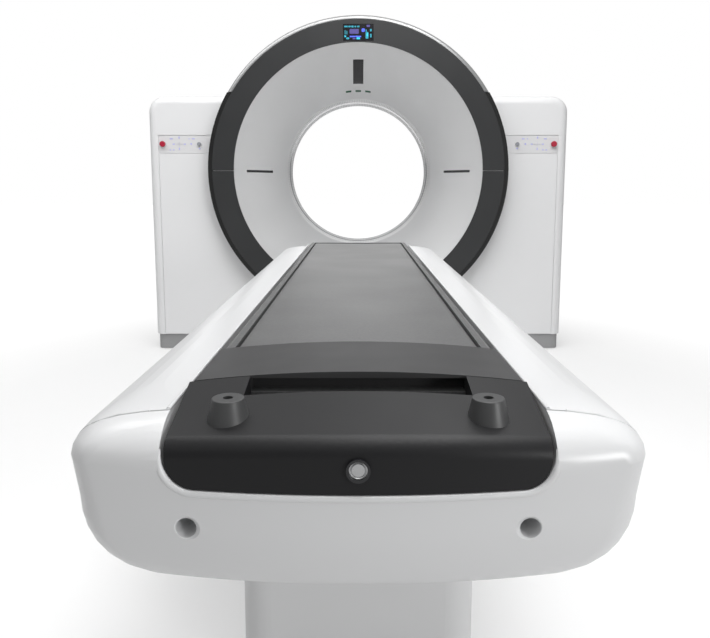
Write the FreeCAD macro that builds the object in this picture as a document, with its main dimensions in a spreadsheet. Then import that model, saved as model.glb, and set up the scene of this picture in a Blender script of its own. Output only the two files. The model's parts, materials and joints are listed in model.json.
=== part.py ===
"""A computed tomography scanner: a ring-shaped gantry between two side housings, and a patient table in front of it.

Millimetres. +Z is up, +Y runs from the foot of the table into the gantry, and the origin is on the floor under the
middle of the whole machine. Lengths inside the gantry are counted from the front plane of its ring cover.
"""

import FreeCAD, Part
import math
import os
import re

import Sketcher
from FreeCAD import Placement, Rotation, Vector

DIMENSIONS = [
    # gantry, overall
    ("iso_height", 1025, "bore axis above the floor"),
    ("gantry_depth", 1010, "front plane of the ring cover to the rear plane"),
    ("gantry_half", 1175, "half the width over the side housings"),
    ("shoulder_height", 1440, "top of the side housings"),
    ("shoulder_round", 90, "corner radius of the housings seen from the front"),
    ("housing_setback", 100, "housing faces behind the ring planes"),
    ("housing_edge", 45, "radius of the housings' upright edges"),
    ("wall", 5, "thickness of the moulded covers"),
    ("plinth_height", 89, "height of the kick plinth"),
    ("plinth_inset", 10, "plinth behind the covers"),
    ("floor_gap", 4, "plinth above the floor"),
    # ring, funnels and bore
    ("bore_radius", 425, "patient bore"),
    ("liner_wall", 4, "bore liner thickness"),
    ("rear_ease", 3, "extra radius of the rear funnel's throat, so that nothing catches on it"),
    ("funnel_mouth", 681, "radius where the funnel meets the ring cover"),
    ("funnel_depth", 332, "depth at which the funnel reaches the bore"),
    ("funnel_lip", 13, "straight lip of the funnel in the bore"),
    ("ring_radius", 802, "outer radius of the ring cover"),
    ("ring_return", 30, "depth of the ring cover's outer return"),
    ("rim_radius", 825, "outer radius of the rim and the top cover"),
    ("rim_front", 4, "rim behind the front plane of the ring cover"),
    ("rim_round", 19, "rounding of the rim's front edge"),
    ("rim_wall", 6, "thickness of the rim"),
    ("rim_clearance", 0.8, "rim clear of the ring cover"),
    ("trim_height", 1447, "top ends of the black side trims"),
    ("trim_radius", 826, "outer radius of the black side trims"),
    ("trim_front", 9, "side trims behind the front plane"),
    ("reveal", 4, "gap between the trims and the housings"),
    ("seam", 3, "gap between neighbouring covers"),
    ("window_width", 60, "width of the clear ring that the fan beam crosses"),
    ("flange", 20, "width of the seating flanges behind the covers"),
    # front of the housings
    ("seam_x", 1120, "upright seam between the door and the housing"),
    ("strip_low", 1125, "lower edge of the control strip"),
    ("strip_high", 1225, "upper edge of the control strip"),
    ("door_inner", 423, "inner edge of the doors under the ring"),
    ("panel_recess", 2, "control strip behind the housing face"),
    ("estop_x", 1094, "emergency stop from the middle plane"),
    ("hold_x", 891, "hold button from the middle plane"),
    ("estop_radius", 16, "mushroom head of the emergency stop"),
    ("estop_travel", 4, "travel of the emergency stop"),
    ("hold_radius", 11, "head of the hold button"),
    ("hold_travel", 2, "travel of the hold button"),
    ("stem_radius", 7, "stems of the push buttons"),
    ("running_gap", 0.3, "clearance round moving stems, races and blocks"),
    # windows in the funnel and the ring cover
    ("slit_near", 78, "front end of the laser slits"),
    ("slit_far", 240, "rear end of the laser slits"),
    ("slit_half", 7, "half the height of the laser slits"),
    ("camera_near", 97, "front end of the upper window"),
    ("camera_far", 238, "rear end of the upper window"),
    ("camera_half", 29, "half the width of the upper window"),
    ("lamp_y", 275, "front edge of the breathing lamps"),
    ("lamp_depth", 13, "depth of the breathing lamps along the bore"),
    ("lamp_half", 16, "half the width of a breathing lamp"),
    ("lamp_pitch", 56, "spacing of the breathing lamps"),
    ("screen_half", 82, "half the width of the gantry display"),
    ("screen_low", 687, "lower edge of the display above the bore axis"),
    ("screen_high", 775, "upper edge of the display above the bore axis"),
    ("screen_glass", 3, "thickness of the display's glass"),
    # rotor, stator and drive
    ("plate_front", 600, "front of the rotor plate"),
    ("plate_thick", 30, "thickness of the rotor plate"),
    ("plate_inner", 440, "inner radius of the rotor plate"),
    ("plate_outer", 780, "outer radius of the rotor plate"),
    ("race_inner", 480, "bore of the bearing's inner race"),
    ("race_split", 520, "outer radius of the bearing's inner race"),
    ("race_outer", 575, "outer radius of the bearing's outer race"),
    ("race_depth", 60, "depth of the bearing"),
    ("race_gap", 0.8, "outer race clear of the inner race, and brushes clear of the slip ring"),
    ("race_offset", 8, "outer race stands clear of the rotor plate"),
    ("stator_inner", 510, "inner radius of the stator ring"),
    ("stator_outer", 790, "outer radius of the stator ring"),
    ("stator_thick", 30, "thickness of the stator ring"),
    ("leg_inner", 430, "inner face of the stator legs"),
    ("leg_outer", 595, "outer face of the stator legs"),
    ("leg_depth", 100, "depth of the stator legs"),
    ("leg_top", 560, "top of the stator legs"),
    ("parts_front", 405, "front of the parts carried on the rotor"),
    ("tube_radius", 92, "X-ray tube housing"),
    ("tube_centre", 625, "X-ray tube from the bore axis"),
    ("pulley_radius", 60, "motor pulley"),
    ("pulley_reach", 880, "motor axis from the bore axis"),
    ("pulley_angle", 50, "motor axis, degrees from straight down"),
    ("belt_thick", 6, "drive belt"),
    ("belt_gap", 0.8, "drive belt clear of the rotor plate and the pulley"),
    ("motor_radius", 75, "drive motor"),
    ("motor_length", 170, "drive motor"),
    ("shaft_radius", 14, "drive motor shaft"),
    ("ring_track", 735, "inner radius of the slip ring"),
    ("ring_track_out", 765, "outer radius of the slip ring"),
    ("anchor_x", 1000, "anchor holes from the middle plane"),
    ("anchor_half_y", 335, "anchor holes from the middle of the gantry's depth"),
    ("anchor_hole", 9, "radius of the anchor holes"),
    ("anchor_plate", 15, "thickness of the anchor plates"),
    ("vent_half", 55, "half the width of the air outlets"),
    ("vent_x", 960, "air outlets from the middle plane"),
    ("vent_z", 1250, "air outlets above the floor"),
    # table, overall
    ("table_gap", 595, "head end of the table to the ring cover"),
    ("table_length", 2332, "length over the table's covers"),
    ("table_half", 345, "half the width over the table's covers"),
    ("table_top", 676, "top of the side rails"),
    ("table_bottom", 470, "underside of the table"),
    ("bow_radius", 1330, "bow of the foot end seen from above"),
    ("foot_corner", 50, "plan radius at the foot, at the widest level"),
    ("head_corner", 75, "plan radius at the head, at the widest level"),
    ("skin", 4, "thickness of the table's covers"),
    ("top_in", 78, "width of the rounding at the top edge"),
    ("top_down", 49, "height of the rounding at the top edge"),
    ("bottom_in", 58, "width of the rounding at the bottom edge"),
    ("bottom_up", 105, "height of the rounding at the bottom edge"),
    ("side_draft", 5, "how far the sides lean in towards the bottom"),
    ("foot_cover", 84, "length of the foot end cover on the middle line"),
    ("trough_half", 228, "half the width between the side rails"),
    ("trough_floor", 600, "floor of the trough"),
    ("mouth_half", 221, "half the width of the cut-out at the front of the foot end"),
    ("mouth_floor", 602, "lower edge of the cut-out in the foot end"),
    ("mouth_round", 36, "lower corners of that cut-out"),
    ("groove_start", 62, "front end of the groove for the accessory rail, from the front of the foot"),
    ("groove_low", 543, "lower edge of the groove for the accessory rail"),
    ("groove_high", 571, "upper edge of the groove for the accessory rail"),
    ("groove_deep", 6, "depth of that groove"),
    ("socket_x", 196, "round sockets in the foot end from the middle plane"),
    ("socket_z", 556, "round sockets in the foot end above the floor"),
    ("socket_radius", 12, "round sockets in the foot end"),
    ("socket_depth", 72, "bottom of the round sockets, from the foremost point of the foot"),
    # foot console
    ("console_half", 217, "half the width of the console's front"),
    ("console_wide", 225, "half the width of the console at the seam"),
    ("console_floor", 605, "lower edge of the console"),
    ("console_brow", 669, "height of the bend over the console's front"),
    ("brow_round", 24, "rounding between the console's front and top"),
    ("console_back", 696, "height of the console at the seam, on the middle line"),
    ("console_length", 170, "front of the foot to the console's seam"),
    ("console_wall", 4, "console wall"),
    ("grip_half", 144, "half the length of the hand grip"),
    ("grip_depth", 52, "hand grip, along the table"),
    ("post_x", 154, "accessory posts from the middle plane"),
    ("post_y", 70, "accessory posts from the front of the foot"),
    ("post_top", 694, "top of the accessory posts"),
    ("post_radius", 19, "accessory post at its top"),
    ("post_foot", 26, "accessory post at its foot"),
    ("post_hole", 6, "hole in the accessory posts"),
    ("post_hole_depth", 30, "depth of that hole"),
    ("release_z", 634, "release button above the floor"),
    ("release_radius", 10.3, "release button"),
    ("release_bezel", 13.5, "bezel of the release button"),
    ("release_travel", 4, "travel of the release button"),
    # cradle
    ("cradle_half", 217, "half the width of the cradle"),
    ("cradle_belly", 640, "underside of the cradle on the middle line"),
    ("cradle_edge", 668, "underside of the cradle at its edges"),
    ("cradle_round", 9, "rounding of the cradle's upper outer edges"),
    ("cradle_rim", 683, "top of the cradle at its edges"),
    ("pad_half", 198, "half the width of the mattress"),
    ("pad_top", 681, "top of the mattress"),
    ("pad_low", 668, "underside of the mattress"),
    ("end_half", 222, "half the width of the end block"),
    ("end_length", 175, "length of the end block"),
    ("end_crown", 1950, "crown radius of the console and the end block"),
    ("end_top", 696, "top of the end block on the middle line"),
    ("end_round", 5, "rounding of the end block's edges"),
    ("cradle_travel", 1600, "travel of the cradle into the bore"),
    ("guide_x", 180, "cradle guides from the middle plane"),
    ("guide_low", 592, "underside of the cradle guides"),
    ("guide_high", 612, "top of the cradle guides"),
    ("guide_half", 12, "half the width of a cradle guide"),
    ("block_length", 90, "length of a guide carriage"),
    # pedestal and lift
    ("pedestal_start", 470, "front of the pedestal from the front of the foot"),
    ("pedestal_length", 1330, "length of the pedestal"),
    ("pedestal_half", 225, "half the width of the pedestal"),
    ("pedestal_round", 60, "corner radius of the pedestal"),
    ("pedestal_low_top", 345, "top of the fixed pedestal cover"),
    ("pedestal_inner_low", 60, "underside of the moving pedestal cover"),
    ("pedestal_step", 10, "moving cover inside the fixed one"),
    ("base_thick", 20, "table base plate"),
    ("column_half", 80, "half the width of the fixed lift columns"),
    ("column_wall", 8, "wall of the lift columns"),
    ("column_top", 440, "top of the fixed lift columns"),
    ("column_inner_low", 130, "lower end of the moving lift columns"),
    ("column_offset", 380, "lift columns from the middle of the pedestal"),
    ("beam_low", 527, "underside of the table frame's beams"),
    ("lift_travel", 250, "travel of the lift"),
    ("table_anchor_x", 150, "table anchor holes from the middle plane"),
    ("table_anchor_y", 570, "table anchor holes from the middle of the pedestal"),
    ("channel_half", 70, "half the width of the floor channel"),
    ("channel_height", 40, "height of the floor channel"),
]

doc = FreeCAD.newDocument("ct_scanner")
sheet = doc.addObject("Spreadsheet::Sheet", "Dims")
for row, (alias, number, note) in enumerate(DIMENSIONS, 1):
    sheet.set(f"A{row}", alias)
    sheet.set(f"B{row}", str(number))
    sheet.set(f"C{row}", note)
    sheet.setAlias(f"B{row}", alias)
doc.recompute()
ROUNDING_STEPS = 8
ALIASES = {alias for alias, number, note in DIMENSIONS}
PIECES = []


class Size:
    """The sheet's numbers, for the shapes that are made with Part's own functions."""

    def __getattr__(self, alias):
        return float(sheet.get(alias))


size = Size()

# Places that follow from the driving dimensions, as formulas on the sheet's names.
RING_Y = "(table_gap + table_length - gantry_depth) / 2"
REAR_Y = "(table_gap + table_length + gantry_depth) / 2"
FOOT_Y = "-(table_gap + table_length + gantry_depth) / 2"
HEAD_Y = f"({FOOT_Y} + table_length)"
MID_Y = f"({RING_Y} + gantry_depth / 2)"
PEDESTAL_Y = f"({FOOT_Y} + pedestal_start + pedestal_length / 2)"
ring_y = (size.table_gap + size.table_length - size.gantry_depth) / 2
foot_y = ring_y - size.table_gap - size.table_length


def formula(text):
    """A formula on the sheet's names, in the words of the expression engine."""
    return re.sub(r"[a-z_]+", lambda m: "Dims." + m.group(0) if m.group(0) in ALIASES else m.group(0), text)


def bind(thing, rules):
    """Ties properties of an object to formulas."""
    for name, text in rules.items():
        thing.setExpression(name, formula(text))
    return thing


def piece(thing, label):
    """Marks an object as a finished sub-part of that name."""
    thing.Label = label
    PIECES.append(thing)
    return thing


def box(name, x, y, z):
    """A block; x, y and z each hold a low and a high formula."""
    block = doc.addObject("Part::Box", name)
    for axis, side, (low, high) in (("x", "Length", x), ("y", "Width", y), ("z", "Height", z)):
        bind(block, {f"Placement.Base.{axis}": low, side: f"({high}) - ({low})"})
    return block


TURNS = {
    "x": Rotation(Vector(0, 1, 0), 90),
    "y": Rotation(Vector(1, 0, 0), -90),
    "z": Rotation(),
}


def stand(thing, axis, low, across):
    """Lays a round primitive along an axis from a low end, through two formulas across it."""
    thing.Placement = Placement(Vector(), TURNS[axis])
    places = dict(zip([a for a in "xyz" if a != axis], across))
    places[axis] = low
    return bind(thing, {f"Placement.Base.{a}": text for a, text in places.items()})


def rod(name, axis, low, high, across, radius):
    """A round bar along an axis."""
    bar = doc.addObject("Part::Cylinder", name)
    bind(bar, {"Radius": radius, "Height": f"({high}) - ({low})"})
    return stand(bar, axis, low, across)


def cone(name, axis, low, high, across, radius_low, radius_high):
    """A truncated cone along an axis."""
    thing = doc.addObject("Part::Cone", name)
    bind(thing, {"Radius1": radius_low, "Radius2": radius_high, "Height": f"({high}) - ({low})"})
    return stand(thing, axis, low, across)


def fuse(name, *things):
    joined = doc.addObject("Part::MultiFuse", name)
    joined.Shapes = list(things)
    joined.Refine = True
    return joined


def cut(name, base, *tools):
    result = doc.addObject("Part::Cut", name)
    result.Base = base
    result.Tool = tools[0] if len(tools) == 1 else fuse(name + "_tools", *tools)
    result.Refine = True
    return result


def together(name, *things):
    """Separate solids that make one sub-part."""
    group = doc.addObject("Part::Compound", name)
    group.Links = list(things)
    return group


def common(name, base, tool):
    result = doc.addObject("Part::Common", name)
    result.Base = base
    result.Tool = tool
    result.Refine = True
    return result


def outline(body, plane, points, name):
    """A closed sketch on one of the body's own planes, each corner held by two formulas."""
    sketch = body.newObject("Sketcher::SketchObject", name)
    sketch.AttachmentSupport = [(next(f for f in body.Origin.OriginFeatures if f.Role == plane), "")]
    sketch.MapMode = "FlatFace"
    count = len(points)
    rough = [Vector(math.cos(2 * math.pi * k / count), math.sin(2 * math.pi * k / count), 0) for k in range(count)]
    for k in range(count):
        sketch.addGeometry(Part.LineSegment(rough[k] * 100, rough[(k + 1) % count] * 100))
    for k in range(count):
        sketch.addConstraint(Sketcher.Constraint("Coincident", k, 2, (k + 1) % count, 1))
    for k, corner in enumerate(points):
        for kind, text in zip(("DistanceX", "DistanceY"), corner):
            number = sketch.addConstraint(Sketcher.Constraint(kind, -1, 1, k, 1, 1.0))
            sketch.setExpression(f"Constraints[{number}]", formula(text))
    return sketch


def revolve(name, points, across=("0", "iso_height"), start=RING_Y):
    """A body of revolution about an axis along Y; points are (distance along Y from start, radius)."""
    body = doc.addObject("PartDesign::Body", name)
    sketch = outline(body, "YZ_Plane", points, name + "_section")
    turn = body.newObject("PartDesign::Revolution", name + "_turn")
    turn.Profile = sketch
    turn.ReferenceAxis = (sketch, ["H_Axis"])
    turn.Angle = 360
    bind(body, {"Placement.Base.x": across[0], "Placement.Base.y": start, "Placement.Base.z": across[1]})
    doc.recompute()
    return body


def tube(name, low, high, inner, outer):
    """A ring about the bore axis, between two depths behind the ring plane."""
    return revolve(name, [(low, inner), (high, inner), (high, outer), (low, outer)])


def plate(name, plane, points, low, high):
    """A flat outline given thickness. plane is XY_Plane, XZ_Plane or YZ_Plane; low and high are formulas across it."""
    body = doc.addObject("PartDesign::Body", name)
    pad = body.newObject("PartDesign::Pad", name + "_pad")
    pad.Profile = outline(body, plane, points, name + "_outline")
    bind(pad, {"Length": f"({high}) - ({low})"})
    # The XZ plane faces -Y, so its pad grows from the high side.
    axis, base = {"XY_Plane": ("z", low), "XZ_Plane": ("y", high), "YZ_Plane": ("x", low)}[plane]
    bind(body, {f"Placement.Base.{axis}": base})
    doc.recompute()
    return body


def rounded(body, radius, wanted):
    """Fillets the edges of a body's last feature that a test picks, in the body's own frame."""
    tip = body.Tip
    names = [f"Edge{k}" for k, edge in enumerate(tip.Shape.Edges, 1) if wanted(edge)]
    if not names:
        raise RuntimeError(f"no edge to round on {body.Name}")
    fillet = body.newObject("PartDesign::Fillet", body.Name + f"_round{len(body.Group)}")
    fillet.Base = (tip, names)
    bind(fillet, {"Radius": radius})
    doc.recompute()
    return body


def placed(edge):
    """The middle point of an edge."""
    return edge.valueAt((edge.FirstParameter + edge.LastParameter) / 2)


def upright(edge, axis):
    """True for a straight edge along an axis."""
    if not isinstance(edge.Curve, Part.Line):
        return False
    return abs(abs(edge.tangentAt(edge.FirstParameter).dot(axis)) - 1) < 1e-6


def circle_at(y, radius):
    """A test for a circular edge about the body's Y axis."""

    def wanted(edge):
        if not isinstance(edge.Curve, Part.Circle):
            return False
        return abs(edge.Curve.Center.y - y) < 0.01 and abs(edge.Curve.Radius - radius) < 0.01

    return wanted


def made(label, shape):
    """A sub-part or blank whose shape comes from Part's own functions."""
    thing = doc.addObject("Part::Feature", label)
    thing.Shape = shape
    return thing


# ------------------------------------------------------------------------------------------ gantry: ring and bore


def funnel(name, mirrored):
    """A dished cover from the ring down to the bore. Mirrored gives the one at the rear."""

    throat = "(bore_radius + rear_ease)" if mirrored else "bore_radius"

    def depth(text):
        return f"gantry_depth - ({text})" if mirrored else text

    points = [
        (depth("wall"), "ring_radius - wall - 1"),
        (depth("wall"), "funnel_mouth"),
        (depth("funnel_depth"), throat),
        (depth("funnel_depth + funnel_lip"), throat),
        (depth("funnel_depth + funnel_lip"), throat + " + wall"),
        (depth("funnel_depth + wall / 2"), throat + " + wall"),
        (depth("wall * 2"), "funnel_mouth + wall / 2"),
        (depth("wall * 2"), "ring_radius - wall - 1"),
    ]
    body = revolve(name, points)
    y = size.gantry_depth - size.funnel_depth if mirrored else size.funnel_depth
    radius = size.bore_radius + (size.rear_ease if mirrored else 0)
    return rounded(body, "funnel_lip * 2.6", circle_at(y, radius))


def cone_ring(name):
    """A conical ring just under the funnel's face, from which its windows are cut."""
    return revolve(name, [
        ("wall", "funnel_mouth + 1.5"),
        ("funnel_depth", "bore_radius + 1.5"),
        ("funnel_depth", "bore_radius + wall - 0.5"),
        ("wall", "funnel_mouth + wall - 2"),
    ])


def gantry_windows():
    """The blocks that place the funnel's windows: two laser slits, the upper window and three lamps."""

    def block(name, x, near, far, z):
        return box(name, x, (f"{RING_Y} + {near}", f"{RING_Y} + {far}"), z)

    reach = ("iso_height + bore_radius - 10", "iso_height + funnel_mouth")
    slit = ("iso_height - slit_half", "iso_height + slit_half")
    blocks = {
        "laser_window_left": block("laser_block_left", ("-funnel_mouth", "-bore_radius + 10"), "slit_near", "slit_far", slit),
        "laser_window_right": block("laser_block_right", ("bore_radius - 10", "funnel_mouth"), "slit_near", "slit_far", slit),
        "camera_window": block("camera_block", ("-camera_half", "camera_half"), "camera_near", "camera_far", reach),
    }
    lamps = [
        block(f"lamp_block_{k}", (f"{k} * lamp_pitch - lamp_half", f"{k} * lamp_pitch + lamp_half"), "lamp_y", "lamp_y + lamp_depth", reach)
        for k in (-1, 0, 1)
    ]
    blocks["breathing_lamps"] = fuse("lamp_blocks", *lamps)
    return blocks


def ring_and_bore():
    windows = gantry_windows()
    front = funnel("front_funnel_blank", False)
    piece(cut("front_funnel_cut", front, *windows.values()), "front_funnel")
    panes = {label: common(label + "_cut", cone_ring(label + "_ring"), block) for label, block in windows.items()}
    piece(panes.pop("breathing_lamps"), "breathing_lamps")
    piece(together("scan_window_panes", *panes.values()), "scan_windows")
    piece(funnel("rear_funnel_turned", True), "rear_funnel")

    lip = "(funnel_depth + funnel_lip)"
    middle = "gantry_depth / 2"
    inner, outer = "bore_radius", "bore_radius + liner_wall"
    near, far = f"{middle} - window_width / 2", f"{middle} + window_width / 2"
    liners = tube("liner_front", lip, near, inner, outer), tube("liner_rear", far, f"gantry_depth - {lip}", inner, outer)
    piece(together("liner_pair", *liners), "bore_liner")
    piece(tube("beam_window_turned", near, far, inner, outer), "beam_window")

    # The dark ring cover is two halves that meet at the height of the bore axis.
    ring_points = [
        ("0", "funnel_mouth + 1"),
        ("0", "ring_radius"),
        ("ring_return", "ring_radius"),
        ("ring_return", "ring_radius - wall"),
        ("wall", "ring_radius - wall"),
        ("wall", "funnel_mouth + 1"),
    ]
    reach = ("-rim_radius", "rim_radius")
    depth = (f"{RING_Y} - 1", f"{RING_Y} + ring_return + 1")
    screen = box("screen_block", ("-screen_half", "screen_half"), (RING_Y, f"{RING_Y} + screen_glass"),
                 ("iso_height + screen_low", "iso_height + screen_high"))
    for label, z in (
        ("ring_cover_upper", ("iso_height + seam / 2", "iso_height + rim_radius")),
        ("ring_cover_lower", ("iso_height - rim_radius", "iso_height - seam / 2")),
    ):
        ring = rounded(revolve(label + "_turned", ring_points), "wall / 2", circle_at(0, size.ring_radius))
        half = common(label + "_half", ring, box(label + "_block", reach, depth, z))
        piece(cut(label + "_cut", half, screen) if label == "ring_cover_upper" else half, label)
    piece(box("display_glass", ("-screen_half + 0.3", "screen_half - 0.3"), (f"{RING_Y} + 0.2", f"{RING_Y} + screen_glass"),
              ("iso_height + screen_low + 0.3", "iso_height + screen_high - 0.3")), "gantry_display")


def rim_points(front, outer, flanged):
    """The section of a rim: a face and a wall back to the housing, with or without a flange behind the housing."""
    flange = [("housing_setback + wall * 2", outer), ("housing_setback + wall * 2", f"{outer} + reveal + flange"),
              ("housing_setback + wall * 3", f"{outer} + reveal + flange")]
    return [
        (front, "ring_radius + rim_clearance"),
        (front, outer),
        *(flange if flanged else [("housing_setback + wall * 3", outer)]),
        ("housing_setback + wall * 3", f"{outer} - rim_wall"),
        (f"{front} + rim_wall", f"{outer} - rim_wall"),
        (f"{front} + rim_wall", "ring_radius + rim_clearance"),
    ]


def rims_and_top():
    """The light rim over the top, the black trims down the sides, the top cover and the rear ring cover."""
    reach = "trim_radius + reveal + flange + 1"
    depth = (f"{RING_Y} - 1", f"{REAR_Y} + 1")
    above = ("trim_height + seam / 2", f"iso_height + {reach}")
    # Flanges stop under the tops of the housings.
    tuck = "shoulder_height - housing_edge"

    light = rounded(revolve("crown_rim_turned", rim_points("rim_front", "rim_radius", False)), "rim_round",
                    circle_at(size.rim_front, size.rim_radius))
    piece(common("crown_rim_half", light, box("crown_block", (f"-({reach})", reach), depth, above)), "crown_rim")

    trims = []
    for tag, x in (("left", (f"-({reach})", "-seam / 2")), ("right", ("seam / 2", reach))):
        runs = []
        for name, flanged, z in (
            ("low", True, (f"iso_height - ({reach})", tuck)),
            ("high", False, (tuck, "trim_height - seam / 2")),
        ):
            dark = rounded(revolve(f"trim_{tag}_{name}_turned", rim_points("trim_front", "trim_radius", flanged)), "rim_wall / 2",
                           circle_at(size.trim_front, size.trim_radius))
            runs.append(common(f"trim_{tag}_{name}", dark, box(f"trim_{tag}_{name}_block", x, depth, z)))
        trims.append(fuse(f"trim_{tag}", *runs))
    piece(together("side_trim_pair", *trims), "side_trims")

    arch = tube("top_arch", "housing_setback + wall * 3", "gantry_depth - housing_setback - wall * 3",
                "rim_radius - wall", "rim_radius")
    piece(common("top_cover_part", arch, box("arch_block", (f"-({reach})", reach), depth,
                                             ("shoulder_height - 25", f"iso_height + {reach}"))), "top_cover")

    # The rear has one ring cover, from the funnel out to the rim.
    runs = []
    for name, flanged, z in (
        ("low", True, (f"iso_height - ({reach})", tuck)),
        ("high", False, (tuck, f"iso_height + {reach}")),
    ):
        points = [
            ("0", "funnel_mouth + 1"),
            ("0", "ring_radius"),
            ("rim_front", "ring_radius"),
            *rim_points("rim_front", "rim_radius", flanged)[1:-1],
            ("rim_front + rim_wall", "ring_radius - wall"),
            ("wall", "ring_radius - wall"),
            ("wall", "funnel_mouth + 1"),
        ]
        ring = revolve(f"rear_ring_{name}_turned", [(f"gantry_depth - ({y})", r) for y, r in points])
        rounded(ring, "rim_round", circle_at(size.gantry_depth - size.rim_front, size.rim_radius))
        runs.append(common(f"rear_ring_{name}", ring, box(f"rear_ring_{name}_block", (f"-({reach})", reach), depth, z)))
    piece(fuse("rear_ring_whole", *runs), "rear_ring_cover")


# ------------------------------------------------------------------------------------------ gantry: housings


def housing_block(name, side, inset):
    """The outer form of one side housing, set in by a formula. side is -1 or 1."""
    low, high = f"{RING_Y} + housing_setback + {inset}", f"{REAR_Y} - housing_setback - ({inset})"
    out = f"{side} * (gantry_half - ({inset}))"
    points = [
        (f"{side} * door_inner", f"plinth_height + ({inset})"),
        (out, f"plinth_height + ({inset})"),
        (out, f"shoulder_height - ({inset})"),
        (f"{side} * door_inner", f"shoulder_height - ({inset})"),
    ]
    body = plate(name, "XZ_Plane", points, low, high)
    far = size.gantry_half * side
    along = Vector(0, 1, 0)

    def shoulder(edge):
        at = placed(edge)
        return upright(edge, along) and abs(at.x - far) < 40 and at.z > size.shoulder_height - 40

    rounded(body, f"shoulder_round - ({inset})", shoulder)

    def outer_edge(edge):
        at = placed(edge)
        if upright(edge, along) or at.z < size.plinth_height + 40:
            return False
        return (at.x - far) * side > -size.shoulder_round or at.z > size.shoulder_height - 40

    return rounded(body, f"housing_edge - ({inset})", outer_edge)


def round_hole(name, grow, low, high):
    """A cylinder round the bore axis that clears the trims."""
    return rod(name, "y", low, high, ("0", "iso_height"), f"trim_radius + ({grow})")


def seat_frame(name, side):
    """Flanges behind the door and the control strip, which carry both."""

    def bar(tag, a, b, z):
        x = (f"-({b})", f"-({a})") if side < 0 else (a, b)
        y = (f"{RING_Y} + housing_setback + wall", f"{RING_Y} + housing_setback + wall * 2")
        return box(f"{name}_{tag}", x, y, z)

    return [
        bar("outer", "seam_x - flange * 0.6", "seam_x + flange", ("plinth_height", "strip_high + flange")),
        bar("top", "door_inner + 250", "seam_x", ("strip_high - flange", "strip_high + flange")),
        bar("middle", "door_inner + 250", "seam_x", ("strip_low - flange", "strip_low + flange")),
        bar("bottom", "door_inner - flange", "seam_x", ("plinth_height", "plinth_height + flange")),
        bar("inner", "door_inner - flange", "door_inner + flange", ("plinth_height", "iso_height - 600")),
    ]


def housings():
    doors, rears, panels = [], [], []
    for side, tag in ((-1, "left"), (1, "right")):
        outer = housing_block(f"housing_{tag}", side, "0")
        inner = housing_block(f"cavity_{tag}", side, "wall")
        # The cavity runs on past the inner edge and the floor, so that the housing is open towards the rotor.
        spread = ("0", "gantry_half - wall * 12") if side > 0 else ("-gantry_half + wall * 12", "0")
        open_below = box(f"open_below_{tag}", spread, (f"{RING_Y} + housing_setback + wall", f"{REAR_Y} - housing_setback - wall"),
                         ("plinth_height - 1", "plinth_height + wall"))
        near = ("door_inner - 1", "door_inner + wall") if side > 0 else ("-door_inner - wall", "-door_inner + 1")
        open_inside = box(f"open_inside_{tag}", near, (f"{RING_Y} + housing_setback + wall", f"{REAR_Y} - housing_setback - wall"),
                          ("plinth_height - 1", "shoulder_height - wall"))
        hole = round_hole(f"housing_hole_{tag}", "reveal", RING_Y, REAR_Y)
        shell = cut(f"shell_{tag}", outer, inner, open_below, open_inside, hole)

        everywhere = ("-gantry_half - 10", "gantry_half + 10")
        height = ("0", "shoulder_height + 10")
        front = common(f"front_shell_{tag}_half", shell,
                       box(f"front_half_{tag}", everywhere, (RING_Y, f"{MID_Y} - seam / 2"), height))
        span = ("door_inner - 5", "seam_x") if side > 0 else ("-seam_x", "-door_inner + 5")
        opening = box(f"front_opening_{tag}", span, (RING_Y, f"{RING_Y} + housing_setback + wall"), ("plinth_height - 1", "strip_high"))
        seats = cut(f"seats_{tag}", fuse(f"seat_bars_{tag}", *seat_frame(f"seat_{tag}", side)),
                    round_hole(f"seat_hole_{tag}", "reveal", RING_Y, REAR_Y))
        piece(fuse(f"front_shell_{tag}_whole", cut(f"front_shell_{tag}_open", front, opening), seats), f"front_shell_{tag}")

        rear = common(f"rear_shell_{tag}_half", shell,
                      box(f"rear_half_{tag}", everywhere, (f"{MID_Y} + seam / 2", REAR_Y), height))
        x = f"{side} * vent_x"
        louvres = [
            box(f"louvre_{tag}_{k}", (f"{x} - vent_half", f"{x} + vent_half"), (f"{REAR_Y} - housing_setback - wall - 1", REAR_Y),
                (f"vent_z + ({k} - 4) * vent_half / 4", f"vent_z + ({k} - 3.5) * vent_half / 4"))
            for k in range(9)
        ]
        rears.append(cut(f"rear_shell_{tag}_cut", rear, *louvres))

        face = (f"{RING_Y} + housing_setback", f"{RING_Y} + housing_setback + wall")
        span = ("door_inner + seam", "seam_x - seam") if side > 0 else ("-seam_x + seam", "-door_inner - seam")
        slab = box(f"door_{tag}_slab", span, face, ("plinth_height + seam", "strip_low - seam"))
        doors.append(cut(f"door_{tag}_cut", slab, round_hole(f"door_hole_{tag}", "reveal", RING_Y, REAR_Y)))

    floor_hole = round_hole("lower_panel_hole", "reveal", RING_Y, REAR_Y)
    for label, low in (("lower_panel_front", f"{RING_Y} + housing_setback"), ("lower_panel_rear", f"{REAR_Y} - housing_setback - wall")):
        span = ("-door_inner + seam", "door_inner - seam") if label.endswith("front") else ("-door_inner", "door_inner")
        slab = box(label + "_slab", span, (low, f"{low} + wall"), ("plinth_height", "iso_height - 600"))
        panels.append(cut(label + "_cut", slab, floor_hole))
    piece(together("door_pair", *doors), "service_doors")
    piece(together("rear_shell_pair", *rears), "rear_shells")
    piece(together("lower_panel_pair", *panels), "lower_panels")


def round_corners(block, radius):
    """Rounds the four upright edges of a block."""
    rounding = doc.addObject("Part::Fillet", block.Name + "_rounded")
    rounding.Base = block
    doc.recompute()
    corners = [k for k, e in enumerate(block.Shape.Edges, 1) if upright(e, Vector(0, 0, 1))]
    rounding.Edges = [(k, radius, radius) for k in corners]
    return rounding


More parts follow.
